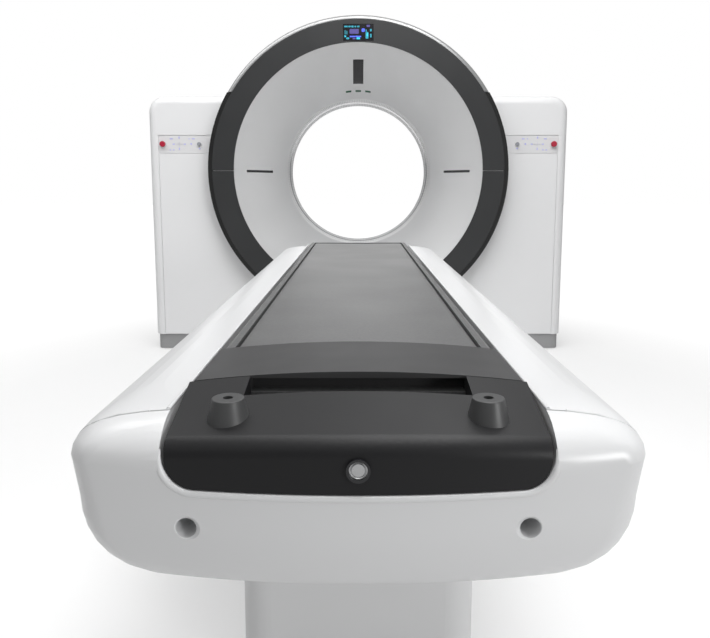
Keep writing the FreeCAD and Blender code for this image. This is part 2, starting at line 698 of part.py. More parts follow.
def plinth_and_base():
    """The kick plinth, the welded base frame on its anchor plates, and the cabinets that stand on it."""
    half, low, high = "(gantry_half - plinth_inset)", f"({RING_Y} + housing_setback + plinth_inset)", f"({REAR_Y} - housing_setback - plinth_inset)"
    outer = box("plinth_outer", (f"-{half}", half), (low, high), ("floor_gap", "plinth_height"))
    inner = box("plinth_inner", (f"-{half} + wall", f"{half} - wall"), (f"{low} + wall", f"{high} - wall"), ("0", "plinth_height - wall"))
    above = box("plinth_above", (f"-{half} + flange * 2", f"{half} - flange * 2"), (f"{low} + flange * 2", f"{high} - flange * 2"),
                ("0", "plinth_height + 1"))
    radius = size.housing_edge - size.plinth_inset
    piece(cut("plinth_cut", round_corners(outer, radius), round_corners(inner, radius - size.wall), above), "plinth")

    beam_top = "plinth_height - wall"
    beams = []
    for k, y in enumerate(("-anchor_half_y + 90", "anchor_half_y - 190")):
        beams.append(box(f"cross_beam_{k}", (f"-{half} + wall", f"{half} - wall"), (f"{MID_Y} + {y}", f"{MID_Y} + {y} + 100"),
                         ("anchor_plate", beam_top)))
    for k in (-1, 1):
        x = ("leg_inner", "leg_outer") if k > 0 else ("-leg_outer", "-leg_inner")
        beams.append(box(f"long_beam_{k}", x, (f"{low} + wall", f"{high} - wall"), ("anchor_plate", beam_top)))
        for j in (-1, 1):
            tag = f"{k}_{j}".replace("-", "m")
            x_mid, y_mid = f"{k} * anchor_x", f"{MID_Y} + {j} * anchor_half_y"
            foot = box(f"anchor_plate_{tag}", (f"{x_mid} - 90", f"{x_mid} + 90"), (f"{y_mid} - 40 - {j} * 75", f"{y_mid} + 40 - {j} * 75"), ("0", "anchor_plate"))
            pad = box(f"anchor_pad_{tag}", (f"{x_mid} - 90", f"{x_mid} + 90"), (f"{y_mid} - 45", f"{y_mid} + 45"), ("0", "anchor_plate"))
            beams += [foot, pad]
    holes = [
        rod(f"anchor_hole_{k}_{j}".replace("-", "m"), "z", "-1", "anchor_plate + 1", (f"{k} * anchor_x", f"{MID_Y} + {j} * anchor_half_y"), "anchor_hole")
        for k in (-1, 1) for j in (-1, 1)
    ]
    piece(cut("base_frame_cut", fuse("base_frame_solid", *beams), *holes), "gantry_base_frame")

    low, high = f"{MID_Y} - anchor_half_y + 90", f"{MID_Y} + anchor_half_y - 90"
    cabinets = [
        box(name, x, (low, high), (beam_top, "iso_height - 200"))
        for name, x in (
            ("power_cabinet", ("-gantry_half + 80", "-gantry_half + 330")),
            ("control_cabinet", ("gantry_half - 330", "gantry_half - 80")),
        )
    ]
    piece(together("cabinet_pair", *cabinets), "electronics_cabinets")


def push_button(label, x, radius, head, travel, stem):
    """A round head in front of the control strip on a stem that passes through it."""
    face = f"({RING_Y} + housing_setback + panel_recess)"
    cap = rod(label + "_cap", "y", f"{face} - {travel} - 2 - {head}", f"{face} - {travel} - 2", (x, "(strip_low + strip_high) / 2"), radius)
    shank = rod(label + "_shank", "y", f"{face} - {travel} - 2", f"{face} + {stem}", (x, "(strip_low + strip_high) / 2"), "stem_radius")
    solid = fuse(label + "_solid", cap, shank)
    doc.recompute()
    fillet = doc.addObject("Part::Fillet", label + "_round")
    fillet.Base = solid
    front = min(e.CenterOfMass.y for e in solid.Shape.Edges)
    edges = [k for k, e in enumerate(solid.Shape.Edges, 1) if isinstance(e.Curve, Part.Circle) and abs(e.CenterOfMass.y - front) < 0.01]
    soft = 3.0 if head != "6" else 1.5
    fillet.Edges = [(k, soft, soft) for k in edges]
    return piece(fillet, label)


def control_strips():
    strips = []
    for side, tag in ((-1, "left"), (1, "right")):
        span = ("door_inner + seam", "seam_x - seam") if side > 0 else ("-seam_x + seam", "-door_inner - seam")
        y = (f"{RING_Y} + housing_setback + panel_recess", f"{RING_Y} + housing_setback + wall")
        middle = "(strip_low + strip_high) / 2"
        slab = box(f"strip_{tag}_slab", span, y, ("strip_low", "strip_high - seam"))
        collars = [
            rod(f"collar_{tag}_{name}", "y", f"{y[0]} - 1.5", y[0], (f"{side} * {x}", middle), f"{radius} + 3")
            for name, x, radius in (("stop", "estop_x", "estop_radius"), ("hold", "hold_x", "hold_radius"))
        ]
        holes = [
            rod(f"stem_hole_{tag}_{name}", "y", f"{y[0]} - 3", f"{y[1]} + 1", (f"{side} * {x}", middle), "stem_radius + running_gap")
            for name, x in (("stop", "estop_x"), ("hold", "hold_x"))
        ]
        hole = round_hole(f"strip_hole_{tag}", "reveal", RING_Y, REAR_Y)
        strips.append(cut(f"strip_{tag}_cut", fuse(f"strip_{tag}_solid", slab, *collars), hole, *holes))
        push_button(f"emergency_stop_{tag}", f"{side} * estop_x", "estop_radius", "12", "estop_travel", "20")
        push_button(f"hold_button_{tag}", f"{side} * hold_x", "hold_radius", "6", "hold_travel", "20")
    piece(together("strip_pair", *strips), "control_strips")


# ------------------------------------------------------------------------------------------ gantry: rotor and drive

PLATE_BACK = "plate_front + plate_thick"
STATOR_FRONT = f"{PLATE_BACK} + race_offset + race_depth - 8"


def rotor_box(label, x, z, front="parts_front"):
    """A box carried on the front of the rotor plate; x and z are counted from the bore axis."""
    lift = tuple(f"iso_height + {text}" for text in z)
    return box(label + "_block", x, (f"{RING_Y} + {front}", f"{RING_Y} + plate_front"), lift)


def rotor():
    """Everything that turns about the patient."""
    holes = [
        rod(f"plate_hole_{k}", "y", f"{RING_Y} + plate_front - 1", f"{RING_Y} + {PLATE_BACK} + 1",
            (f"(plate_outer - 130) * {math.sin(math.radians(a)):.6f}", f"iso_height + (plate_outer - 130) * {math.cos(math.radians(a)):.6f}"), "55")
        for k, a in enumerate((45, 135, 225, 315))
    ]
    disc = tube("rotor_disc", "plate_front", PLATE_BACK, "plate_inner", "plate_outer")
    weight = rotor_box("balance_weight", ("-430", "-260"), ("440", "560"), "parts_front + 80")
    piece(fuse("rotor_plate_solid", cut("rotor_plate_cut", disc, *holes), weight), "rotor_plate")
    piece(tube("inner_race_turned", PLATE_BACK, f"{PLATE_BACK} + race_depth - 4", "race_inner", "race_split"), "bearing_inner_race")

    grooves = []
    for k in range(4):
        low = f"{PLATE_BACK} + 6 + {k} * 10"
        grooves += [(low, "ring_track_out"), (low, "ring_track_out - 3"), (f"{low} + 4", "ring_track_out - 3"), (f"{low} + 4", "ring_track_out")]
    section = [(PLATE_BACK, "ring_track_out"), *grooves, (f"{PLATE_BACK} + 46", "ring_track_out"),
               (f"{PLATE_BACK} + 46", "ring_track"), (PLATE_BACK, "ring_track")]
    piece(revolve("slip_ring_turned", section), "slip_ring")

    body = rod("tube_body", "y", f"{RING_Y} + parts_front", f"{RING_Y} + plate_front", ("0", "iso_height + tube_centre"), "tube_radius")
    port = rod("tube_port", "x", "tube_radius - 20", "tube_radius + 40", (f"{RING_Y} + gantry_depth / 2", "iso_height + tube_centre"), "28")
    piece(fuse("xray_tube_solid", body, port), "xray_tube")
    slit = rotor_box("collimator", ("-90", "90"), ("plate_inner + 25", "tube_centre - tube_radius - 1"), "parts_front + 50")
    piece(slit, "collimator")
    piece(rotor_box("high_voltage_tank", ("plate_inner + 90", "plate_outer - 30"), ("-150", "150")), "high_voltage_tank")
    piece(rotor_box("inverter_unit", ("-plate_outer + 30", "-plate_inner - 90"), ("-150", "150")), "inverter_unit")

    arcs = []
    for label, inner, outer, front in (
        ("detector_cells", "plate_outer - 150", "plate_outer - 90", "parts_front + 40"),
        ("acquisition_boards", "plate_outer - 88", "plate_outer - 10", "parts_front + 70"),
    ):
        arc = tube(label + "_turned", front, "plate_front", inner, outer)
        sector = box(label + "_block", ("-370", "370"), (RING_Y, REAR_Y), ("iso_height - plate_outer", "iso_height - 400"))
        arcs.append(common(label + "_arc", arc, sector))
    piece(together("detector_pair", *arcs), "detector_array")


def stator():
    """The fixed ring and legs that hold the bearing, the brushes, the motor and its belt."""
    ring = tube("stator_ring", STATOR_FRONT, f"{STATOR_FRONT} + stator_thick", "stator_inner", "stator_outer")
    legs = []
    for k in (-1, 1):
        x = ("leg_inner", "leg_outer") if k > 0 else ("-leg_outer", "-leg_inner")
        legs.append(box(f"stator_leg_{k}".replace("-", "m"), x, (f"{RING_Y} + {STATOR_FRONT}", f"{RING_Y} + {STATOR_FRONT} + leg_depth"),
                        ("plinth_height - wall", "leg_top")))
    piece(tube("outer_race_turned", f"{PLATE_BACK} + race_offset", STATOR_FRONT, "race_split + race_gap", "race_outer"), "bearing_outer_race")
    brushes = box("brush_box", ("-60", "60"), (f"{RING_Y} + {PLATE_BACK} + 4", f"{RING_Y} + {STATOR_FRONT}"),
                  ("iso_height - ring_track_out - 24", "iso_height - ring_track_out - race_gap"))

    x = "pulley_reach * sin(pulley_angle * 1deg)"
    z = "iso_height - pulley_reach * cos(pulley_angle * 1deg)"
    back = f"{RING_Y} + {STATOR_FRONT}"
    bracket = box("motor_bracket_block", ("leg_outer", f"{x} + motor_radius + 15"), (back, f"{back} + 15"), (f"{z} - 95", f"{z} + 90"))
    pierced = cut("motor_bracket_cut", bracket, rod("bracket_hole", "y", f"{back} - 1", f"{back} + 16", (x, z), "motor_radius / 2"))
    piece(fuse("stator_solid", ring, *legs, brushes, pierced), "stator_frame")
    body = rod("motor_body", "y", f"{back} + 15", f"{back} + 15 + motor_length", (x, z), "motor_radius")
    bore = rod("motor_bore", "y", back, f"{back} + 75", (x, z), "shaft_radius + running_gap")
    piece(cut("drive_motor_cut", body, bore), "drive_motor")
    wheel = rod("pulley_wheel", "y", f"{RING_Y} + plate_front", f"{RING_Y} + {PLATE_BACK}", (x, z), "pulley_radius")
    shaft = rod("pulley_shaft", "y", f"{RING_Y} + {PLATE_BACK}", f"{back} + 70", (x, z), "shaft_radius")
    piece(fuse("pulley_solid", wheel, shaft), "motor_pulley")
    piece(made("drive_belt_loop", belt_shape()), "drive_belt")


def loop_face(big, small, reach):
    """The flat outline of a tight loop round two circles, the small one straight below the big one."""
    slope = math.asin((big - small) / reach)
    across, up = math.cos(slope), math.sin(slope)

    def touch(radius, z, side):
        return Vector(side * radius * across, 0, z - radius * up)

    # Both outer tangents lean by the same angle on either side of the line through the centres.
    left_big, right_big = touch(big, 0, -1), touch(big, 0, 1)
    left_small, right_small = touch(small, -reach, -1), touch(small, -reach, 1)
    top = Part.Arc(left_big, Vector(0, 0, big), right_big).toShape()
    bottom = Part.Arc(right_small, Vector(0, 0, -reach - small), left_small).toShape()
    sides = [Part.LineSegment(right_big, right_small).toShape(), Part.LineSegment(left_small, left_big).toShape()]
    return Part.Face(Part.Wire([top, sides[0], bottom, sides[1]]))


def belt_shape():
    """A flat belt round the rotor plate's rim and the motor pulley."""
    gap, thick = size.belt_gap, size.belt_thick
    outer = loop_face(size.plate_outer + gap + thick, size.pulley_radius + gap + thick, size.pulley_reach)
    inner = loop_face(size.plate_outer + gap, size.pulley_radius + gap, size.pulley_reach)
    width = size.plate_thick - 6
    shape = outer.extrude(Vector(0, width, 0)).cut(inner.extrude(Vector(0, width, 0)))
    shape.rotate(Vector(), Vector(0, 1, 0), -size.pulley_angle)
    shape.translate(Vector(0, ring_y + size.plate_front + 3, size.iso_height))
    return shape


# ------------------------------------------------------------------------------------------ table: covers


def plan(inset, z):
    """The table's outline seen from above, set in by a distance, at a height. Its corners get rounder as it turns in."""
    foot, head = size.foot_corner + inset, size.head_corner + inset
    bow_y = foot_y + size.bow_radius
    bow = size.bow_radius - inset
    corner_x = size.table_half - inset - foot
    corner_y = bow_y - math.sqrt((bow - foot) ** 2 - corner_x**2)
    lean = math.atan2(corner_x, bow_y - corner_y)
    head_x = size.table_half - inset - head
    back_y = foot_y + size.table_length - inset - head

    def at(x, y, radius, angle):
        return Vector(x + radius * math.sin(angle), y - radius * math.cos(angle), z)

    def arc(x, y, radius, first, last):
        points = [at(x, y, radius, a) for a in (first, (first + last) / 2, last)]
        return Part.Arc(*points).toShape()

    turn = math.pi / 2
    edges = [
        arc(0, bow_y, bow, -lean, lean),
        arc(corner_x, corner_y, foot, lean, turn),
        Part.LineSegment(at(corner_x, corner_y, foot, turn), at(head_x, back_y, head, turn)).toShape(),
        arc(head_x, back_y, head, turn, 2 * turn),
        Part.LineSegment(at(head_x, back_y, head, 2 * turn), at(-head_x, back_y, head, -2 * turn)).toShape(),
        arc(-head_x, back_y, head, -2 * turn, -turn),
        Part.LineSegment(at(-head_x, back_y, head, -turn), at(-corner_x, corner_y, foot, -turn)).toShape(),
        arc(-corner_x, corner_y, foot, -turn, -lean),
    ]
    return Part.Wire(edges)


def hull(shrink):
    """The smooth outer form of the table, set in all round by a distance."""
    top, bottom = size.table_top - shrink, size.table_bottom + shrink
    turns = [math.radians(90 / ROUNDING_STEPS * step) for step in range(ROUNDING_STEPS + 1)]
    sections = [(size.top_in * (1 - math.sin(a)), top - size.top_down * (1 - math.cos(a))) for a in turns]
    for angle in turns:
        lean = size.side_draft + (size.bottom_in - size.side_draft) * (1 - math.cos(angle))
        sections.append((lean, bottom + size.bottom_up * (1 - math.sin(angle))))
    return Part.makeLoft([plan(shrink + inset, z) for inset, z in sections], True, True)


def slab(x, y, z):
    """A block between low and high numbers on each axis."""
    return Part.makeBox(x[1] - x[0], y[1] - y[0], z[1] - z[0], Vector(x[0], y[0], z[0]))


def trough(halves, y, floor, corner):
    """A long block between two widths, with rounded lower edges, open upwards."""
    corners = [
        Vector(-halves[0], y[0], floor),
        Vector(halves[0], y[0], floor),
        Vector(halves[1], y[1], floor),
        Vector(-halves[1], y[1], floor),
    ]
    block = Part.Face(Part.makePolygon([*corners, corners[0]])).extrude(Vector(0, 0, 140))
    low = [e for e in block.Edges if abs(e.CenterOfMass.z - floor) < 0.01 and abs(e.CenterOfMass.x) > halves[0] - 1]
    return block.makeFillet(corner, low)


def table_covers():
    """The foot end cover, two side covers and the underside, all cut from one shell."""
    skin = size.skin
    head_y = foot_y + size.table_length
    seam_y = foot_y + size.foot_cover
    long_way = (foot_y - 50, head_y + 50)

    wide, narrow = size.trough_half, size.mouth_half
    turn, rail_y, mouth_y = size.mouth_round, (seam_y, head_y + 50), (foot_y - 50, seam_y + 2)
    rails = trough((wide, wide), rail_y, size.trough_floor, turn)
    mouth = trough((narrow, wide - 1), mouth_y, size.mouth_floor, turn)
    rail_wall = trough((wide + skin, wide + skin), rail_y, size.trough_floor - skin, turn + skin)
    mouth_wall = trough((narrow + skin, wide + skin - 1), mouth_y, size.mouth_floor - skin, turn + skin)
    solid = hull(0).cut(rails).cut(mouth)
    hollow = hull(skin).cut(rail_wall).cut(mouth_wall)
    # The trough has walls but no floor of its own between the beams, so that the guides can pass.
    between = slab((-size.trough_half + 18, size.trough_half - 18), (seam_y, head_y - 3 * skin),
                   (size.trough_floor - 3 * skin, size.trough_floor + 11))
    shell = solid.cut(hollow).cut(between)

    seam = size.seam / 2
    foot_zone = slab((-400, 400), (foot_y - 10, seam_y - seam), (400, 800))
    rest_zone = slab((-400, 400), (seam_y + seam, head_y + 10), (400, 800))
    under_plan = Part.Face(plan(size.bottom_in + 2 * skin, size.table_bottom - skin))
    under_zone = under_plan.extrude(Vector(0, 0, 4 * skin)).common(rest_zone)
    foot_shell = shell.common(foot_zone)
    core = hull(skin / 4)
    cups = []
    for side in (-1, 1):
        at = Vector(side * size.socket_x, foot_y + size.socket_depth + skin, size.socket_z)
        front = Vector(0, -1, 0)
        cup = Part.makeCylinder(size.socket_radius + skin, size.socket_depth + skin, at, front).common(core)
        bore = Part.makeCylinder(size.socket_radius, size.socket_depth + 60, at - Vector(0, skin, 0), front)
        face_y = foot_y + size.socket_x**2 / (2 * size.bow_radius) + size.side_draft
        dish = Part.makeCone(size.socket_radius, size.socket_radius + 12, 12, Vector(at.x, face_y + 4, at.z), front)
        cups.append((cup, bore.fuse(dish)))
    for cup, bore in cups:
        foot_shell = foot_shell.fuse(cup).cut(bore)

    # A groove down each side, through both covers, holds the accessory rail.
    reach = (foot_y + size.groove_start, head_y - size.head_corner - 20)
    rest = shell.common(rest_zone)
    grooves, rails_shape = [], []
    for side in (-1, 1):
        low_x = size.table_half - size.side_draft - size.groove_deep
        x = sorted((side * low_x, side * (size.table_half + 20)))
        grooves.append(slab(x, reach, (size.groove_low, size.groove_high)))
        bar_x = sorted((side * low_x, side * (size.table_half - size.side_draft)))
        bar_z = (size.groove_low + 2, (size.groove_low + size.groove_high) / 2)
        rails_shape.append(slab(bar_x, (reach[0] + size.foot_corner, reach[1] - 1), bar_z))
        backing_x = sorted((side * (low_x - skin), side * size.table_half))
        backing = slab(backing_x, (reach[0] - skin, reach[1] + skin), (size.groove_low - skin, size.groove_high + skin))
        backing = backing.common(core)
        foot_shell = foot_shell.fuse(backing.common(foot_zone))
        rest = rest.fuse(backing.common(rest_zone))
    for groove in grooves:
        foot_shell, rest = foot_shell.cut(groove), rest.cut(groove)
    piece(made("foot_end_shell", foot_shell), "foot_end_cover")
    side_part = rest.cut(under_zone)
    halves = [side_part.common(slab(x, long_way, (400, 800))) for x in ((-400, -1), (1, 400))]
    piece(made("side_shells", Part.makeCompound(halves)), "table_side_covers")
    # The lift columns and the lifting screw come up through the underside.
    pedestal_y = foot_y + size.pedestal_start + size.pedestal_length / 2
    half = size.column_half - size.column_wall + 1.5
    passage = [
        slab((-half, half), (y - half, y + half), (400, 600))
        for y in (pedestal_y - size.column_offset, pedestal_y + size.column_offset)
    ]
    passage.append(Part.makeCylinder(22, 200, Vector(0, pedestal_y, 400)))
    sheet_zone = slab((-400, 400), long_way, (size.table_bottom, size.table_bottom + skin))
    underside = under_zone.common(sheet_zone).cut(Part.makeCompound(passage))
    piece(made("underside_shell", underside), "table_underside_cover")
    bars = [bar.makeFillet(2.5, [e for e in bar.Edges if upright(e, Vector(0, 1, 0))]) for bar in rails_shape]
    piece(made("rail_bars", Part.makeCompound(bars)), "accessory_rails")


# ------------------------------------------------------------------------------------------ table: foot console


def crown(foot_end, head_end):
    """A large cylinder lying along the table, whose crest runs through two points (y, z) on the middle line."""
    along = Vector(0, head_end[0] - foot_end[0], head_end[1] - foot_end[1]).normalize()
    down = Vector(0, along.z, -along.y) * size.end_crown
    start = Vector(0, *foot_end) - along * 100 + down
    return Part.makeCylinder(size.end_crown, 500, start, along)


def console_block(shrink):
    """The outer form of the console: the cut-out's outline from the front, under a crowned slope."""
    half, wide, floor = size.console_half - shrink, size.console_wide - shrink, size.console_floor + shrink
    back_y = foot_y + size.console_length - 1
    front = foot_y + 4 + shrink
    block = trough((half, wide), (foot_y - 20, back_y), floor, size.mouth_round - 2 - shrink)
    # The front is bowed like the foot of the table.
    middle = Vector(0, front + size.bow_radius, floor - 10)
    bow = Part.makeCylinder(size.bow_radius, 300, middle, Vector(0, 0, 1))
    bent = (front + size.brow_round, size.console_brow - shrink)
    block = block.common(bow).common(crown(bent, (back_y, size.console_back - shrink)))
    brow = [
        e for e in block.Edges
        if e.BoundBox.XLength > size.console_half / 2 and e.CenterOfMass.y < foot_y + 60
        and e.CenterOfMass.z > size.console_floor + 30
    ]
    return block.makeFillet(size.brow_round - shrink, brow)


def foot_console():
    wall = size.console_wall
    outer = console_block(0)
    inner = console_block(wall)
    back_y = foot_y + size.console_length
    shell = outer.cut(inner)
    # The grip is a well across the seam; its own walls close it off from the inside.
    well = slab((-size.grip_half, size.grip_half), (back_y - size.grip_depth, back_y + 5), (size.console_back - 32, size.console_back + 20))
    well_outer = slab((-size.grip_half - wall, size.grip_half + wall), (back_y - size.grip_depth - wall, back_y - 1),
                      (size.console_back - 32 - wall, size.console_back + 20)).common(outer)
    posts, holes = [], []
    for side in (-1, 1):
        x, y = side * size.post_x, foot_y + size.post_y
        foot_z = size.console_brow - 6
        posts.append(Part.makeCone(size.post_foot, size.post_radius, size.post_top - foot_z, Vector(x, y, foot_z)).fuse(
            Part.makeCylinder(size.post_hole + wall, size.post_top - foot_z + 20, Vector(x, y, foot_z - 20))))
        holes.append(Part.makeCylinder(size.post_hole, size.post_hole_depth, Vector(x, y, size.post_top - size.post_hole_depth)))
    button = Part.makeCylinder(size.release_bezel - 2 + size.running_gap, 60, Vector(0, foot_y - 10, size.release_z), Vector(0, 1, 0))
    shell = shell.fuse(well_outer).cut(well).cut(button)
    piece(made("console_shell", shell.cut(posts[0]).cut(posts[1])), "foot_console")
    pair = []
    for post, hole in zip(posts, holes):
        top = [e for e in post.Edges if isinstance(e.Curve, Part.Circle) and abs(e.CenterOfMass.z - size.post_top) < 0.01]
        pair.append(post.makeFillet(1.5, top).cut(hole))
    piece(made("post_pair", Part.makeCompound(pair)), "accessory_posts")

    face = f"({FOOT_Y} + 4)"
    middle = ("0", "release_z")
    collar = rod("bezel_collar", "y", f"{face} - 4.4", f"{face} - 0.4", middle, "release_bezel")
    sleeve = rod("bezel_sleeve", "y", f"{face} - 0.4", f"{face} + 28", middle, "release_bezel - 2")
    bore = rod("bezel_bore", "y", f"{face} - 5", f"{face} + 22", middle, "release_radius + running_gap")
    piece(cut("bezel_cut", fuse("bezel_solid", collar, sleeve), bore), "release_bezel_ring")
    cap = revolve("release_cap", [
        ("0", "0"), ("0", "release_radius - 3"), ("1", "release_radius - 2"), ("0", "release_radius - 1"), ("0", "release_radius"),
        ("18 - release_travel", "release_radius"), ("18 - release_travel", "0"),
    ], middle, f"{face} - 1.5")
    piece(cap, "release_button")


# ------------------------------------------------------------------------------------------ table: cradle


def cradle():
    """The carbon cradle, its mattress, the end block with the grip, and the carriages under it."""
    start = foot_y + size.console_length + 1.5
    end = foot_y + size.table_length - 6
    half = size.cradle_half

    def bar(points_low, points_high, y):
        """A long bar whose underside and top are arcs through three points each."""
        low = Part.Arc(*[Vector(x, y[0], z) for x, z in points_low]).toShape()
        high = Part.Arc(*[Vector(x, y[0], z) for x, z in points_high]).toShape()
        sides = [Part.LineSegment(low.valueAt(low.LastParameter), high.valueAt(high.LastParameter)).toShape(),
                 Part.LineSegment(high.valueAt(high.FirstParameter), low.valueAt(low.FirstParameter)).toShape()]
        return Part.Face(Part.Wire(Part.sortEdges([low, high, *sides])[0])).extrude(Vector(0, y[1] - y[0], 0))

    belly = [(-half, size.cradle_edge), (0, size.cradle_belly), (half, size.cradle_edge)]
    dish = [(-half, size.cradle_rim), (0, size.cradle_rim - 0.6), (half, size.cradle_rim)]
    body = bar(belly, dish, (start, end))
    tip = [e for e in body.Edges if upright(e, Vector(0, 0, 1)) and e.CenterOfMass.y > end - 1]
    body = body.makeFillet(12, tip)
    shoulders = [e for e in body.Edges if upright(e, Vector(0, 1, 0)) and e.CenterOfMass.z > size.cradle_rim - 1]
    body = body.makeFillet(size.cradle_round, shoulders)
    pocket = slab((-size.pad_half - 1, size.pad_half + 1), (start - 1, end - 10), (size.pad_low, 800))
    body = body.cut(pocket)
    piece(made("cradle_bar", body), "cradle")

    block_end = start + size.end_length
    pad = slab((-size.pad_half, size.pad_half), (block_end + 1, end - 11), (size.pad_low, size.pad_top))
    soft = [e for e in pad.Edges if e.CenterOfMass.z > size.pad_top - 0.01]
    piece(made("mattress_bar", pad.makeFillet(7, soft)), "mattress")

    block = slab((-size.end_half, size.end_half), (start, block_end), (size.cradle_edge + 2, size.end_top + 20))
    block = block.common(crown((start, size.end_top), (block_end, size.end_top)))
    lip = [e for e in block.Edges if e.CenterOfMass.z > size.cradle_rim and e.BoundBox.YLength > size.end_length / 2]
    far = [e for e in block.Edges if e.CenterOfMass.y > block_end - 0.1 and e.BoundBox.XLength > size.end_half / 2
           and e.CenterOfMass.z > size.cradle_rim]
    block = block.makeFillet(size.end_round, lip + far)
    key = slab((-size.pad_half, size.pad_half), (start, block_end), (size.pad_low, size.cradle_rim))
    hand = slab((-size.grip_half, size.grip_half), (start - 1, start + 22), (size.pad_low - 1, size.cradle_rim + 4))
    piece(made("end_bar", block.fuse(key).cut(body).cut(hand)), "cradle_end_block")

    # Four carriages ride on two guides, and posts join them to the belly.
    carriages = []
    guide_top, guide_half, gap = size.guide_high, size.guide_half, size.running_gap
    for k, offset in enumerate((60, 420)):
        for side in (-1, 1):
            x = side * size.guide_x
            y = (start + offset, start + offset + size.block_length)
            block = slab((x - 22, x + 22), y, (size.guide_low + 4, size.cradle_edge))
            slot = slab((x - guide_half - gap, x + guide_half + gap), (y[0] - 1, y[1] + 1), (size.guide_low, guide_top + gap))
            carriages.append(block.cut(slot).cut(bar(belly, dish, (y[0] - 1, y[1] + 1))))
    piece(made("carriage_blocks", Part.makeCompound([c.Solids[0] for c in carriages])), "guide_carriages")


# ------------------------------------------------------------------------------------------ table: frame and lift


def frame_and_lift():
    head = f"({HEAD_Y} - 40)"
    foot = f"({FOOT_Y} + foot_cover + 20)"
    beams, guides = [], []
    for side in (-1, 1):
        x = f"{side} * guide_x"
        beams.append(box(f"frame_beam_{side}".replace("-", "m"), (f"{x} - 25", f"{x} + 25"), (foot, head), ("beam_low", "guide_low")))
        start = f"({FOOT_Y} + console_length + 20)"
        guides.append(box(f"guide_{side}".replace("-", "m"), (f"{x} - guide_half", f"{x} + guide_half"), (start, head), ("guide_low", "guide_high")))
    low, high = f"{PEDESTAL_Y} - column_offset - column_half", f"{PEDESTAL_Y} + column_offset + column_half"
    deck = box("frame_deck", ("-guide_x - 25", "guide_x + 25"), (low, high), ("beam_low - 12", "beam_low"))
    ties = [
        box(f"frame_tie_{k}", ("-guide_x", "guide_x"), (f"{y} - 25", f"{y} + 25"), ("beam_low", "beam_low + 40"))
        for k, y in enumerate((f"{foot} + 60", f"{head} - 60", f"{foot} + table_length / 2"))
    ]
    hangers = box("frame_hanger", ("-guide_x - 25", "guide_x + 25"), (f"{foot} + 10", f"{foot} + 110"), ("table_bottom + skin", "beam_low"))
    head_hanger = box("head_hanger", ("-guide_x - 25", "guide_x + 25"), (f"{head} - 140", f"{head} - 40"), ("table_bottom + skin", "beam_low"))
    console_foot = box("console_foot", ("-60", "60"), (f"{FOOT_Y} + foot_cover - 30", f"{foot} + 20"), ("beam_low", "mouth_floor - skin"))
    console_riser = box("console_riser", ("-60", "60"), (f"{FOOT_Y} + console_length - 60", f"{FOOT_Y} + console_length - 4"),
                        ("beam_low", "console_floor"))
    tray = box("trough_tray", ("-guide_x + 25", "guide_x - 25"), (f"{foot} + 100", head), ("beam_low + 38", "beam_low + 43"))
    welded = [*beams, deck, *ties, hangers, head_hanger, console_foot, console_riser, tray]
    piece(fuse("table_frame_solid", *welded), "table_frame")
    piece(together("guide_pair", *guides), "cradle_guides")
    piece(box("cradle_motor_block", ("-60", "60"), (f"{head} - 420", f"{head} - 220"), ("table_bottom + skin", "beam_low + 38")), "cradle_motor")

    outer_columns, inner_columns = [], []
    for k in (-1, 1):
        tag = f"{k}".replace("-", "m")
        y = f"{PEDESTAL_Y} + {k} * column_offset"
        for store, half, z in (
            (outer_columns, "column_half", ("base_thick", "column_top")),
            (inner_columns, "column_half - column_wall - running_gap", ("column_inner_low", "beam_low - 12")),
        ):
            name = f"column_{tag}_{len(store)}_{'out' if store is outer_columns else 'in'}"
            solid = box(name, (f"-({half})", half), (f"{y} - ({half})", f"{y} + {half}"), z)
            core = f"({half} - column_wall)"
            hollow = box(name + "_core", (f"-{core}", core), (f"{y} - {core}", f"{y} + {core}"), (f"{z[0]} - 1", f"{z[1]} + 1"))
            store.append(cut(name + "_tube", solid, hollow))

    jack = rod("jack_body", "z", "base_thick", "pedestal_low_top - 20", ("0", PEDESTAL_Y), "45")
    jack_bore = rod("jack_bore", "z", "base_thick + 20", "pedestal_low_top", ("0", PEDESTAL_Y), "20 + running_gap")
    screw = rod("jack_rod", "z", "base_thick + 30", "beam_low - 12", ("0", PEDESTAL_Y), "20")
    piece(together("lift_lower", *outer_columns, cut("jack_cut", jack, jack_bore)), "lift_columns_fixed")
    piece(together("lift_upper", *inner_columns, screw), "lift_columns_moving")

    floor_half = "(pedestal_half - skin)"
    low, high = f"{PEDESTAL_Y} - pedestal_length / 2 + skin", f"{PEDESTAL_Y} + pedestal_length / 2 - skin"
    plate_block = box("table_base_block", (f"-{floor_half}", floor_half), (low, high), ("0", "base_thick"))
    holes = [
        rod(f"table_anchor_{k}_{j}".replace("-", "m"), "z", "-1", "base_thick + 1",
            (f"{k} * table_anchor_x", f"{PEDESTAL_Y} + {j} * table_anchor_y"), "anchor_hole")
        for k in (-1, 1) for j in (-1, 1)
    ]
    piece(cut("table_base_cut", round_corners(plate_block, size.pedestal_round - size.skin), *holes), "table_base_plate")

    pedestal_cover("pedestal_cover_fixed", "0", ("floor_gap", "pedestal_low_top"))
    pedestal_cover("pedestal_cover_moving", "pedestal_step", ("pedestal_inner_low", "table_bottom"))
    ends = (f"{PEDESTAL_Y} + pedestal_length / 2", f"{RING_Y} + housing_setback + plinth_inset")
    shell = box("channel_outer", ("-channel_half", "channel_half"), ends, ("0", "channel_height"))
    inside = box("channel_inner", ("-channel_half + wall", "channel_half - wall"), (f"{ends[0]} - 1", f"{ends[1]} + 1"), ("-1", "channel_height - wall"))
    piece(cut("channel_cut", shell, inside), "floor_channel")


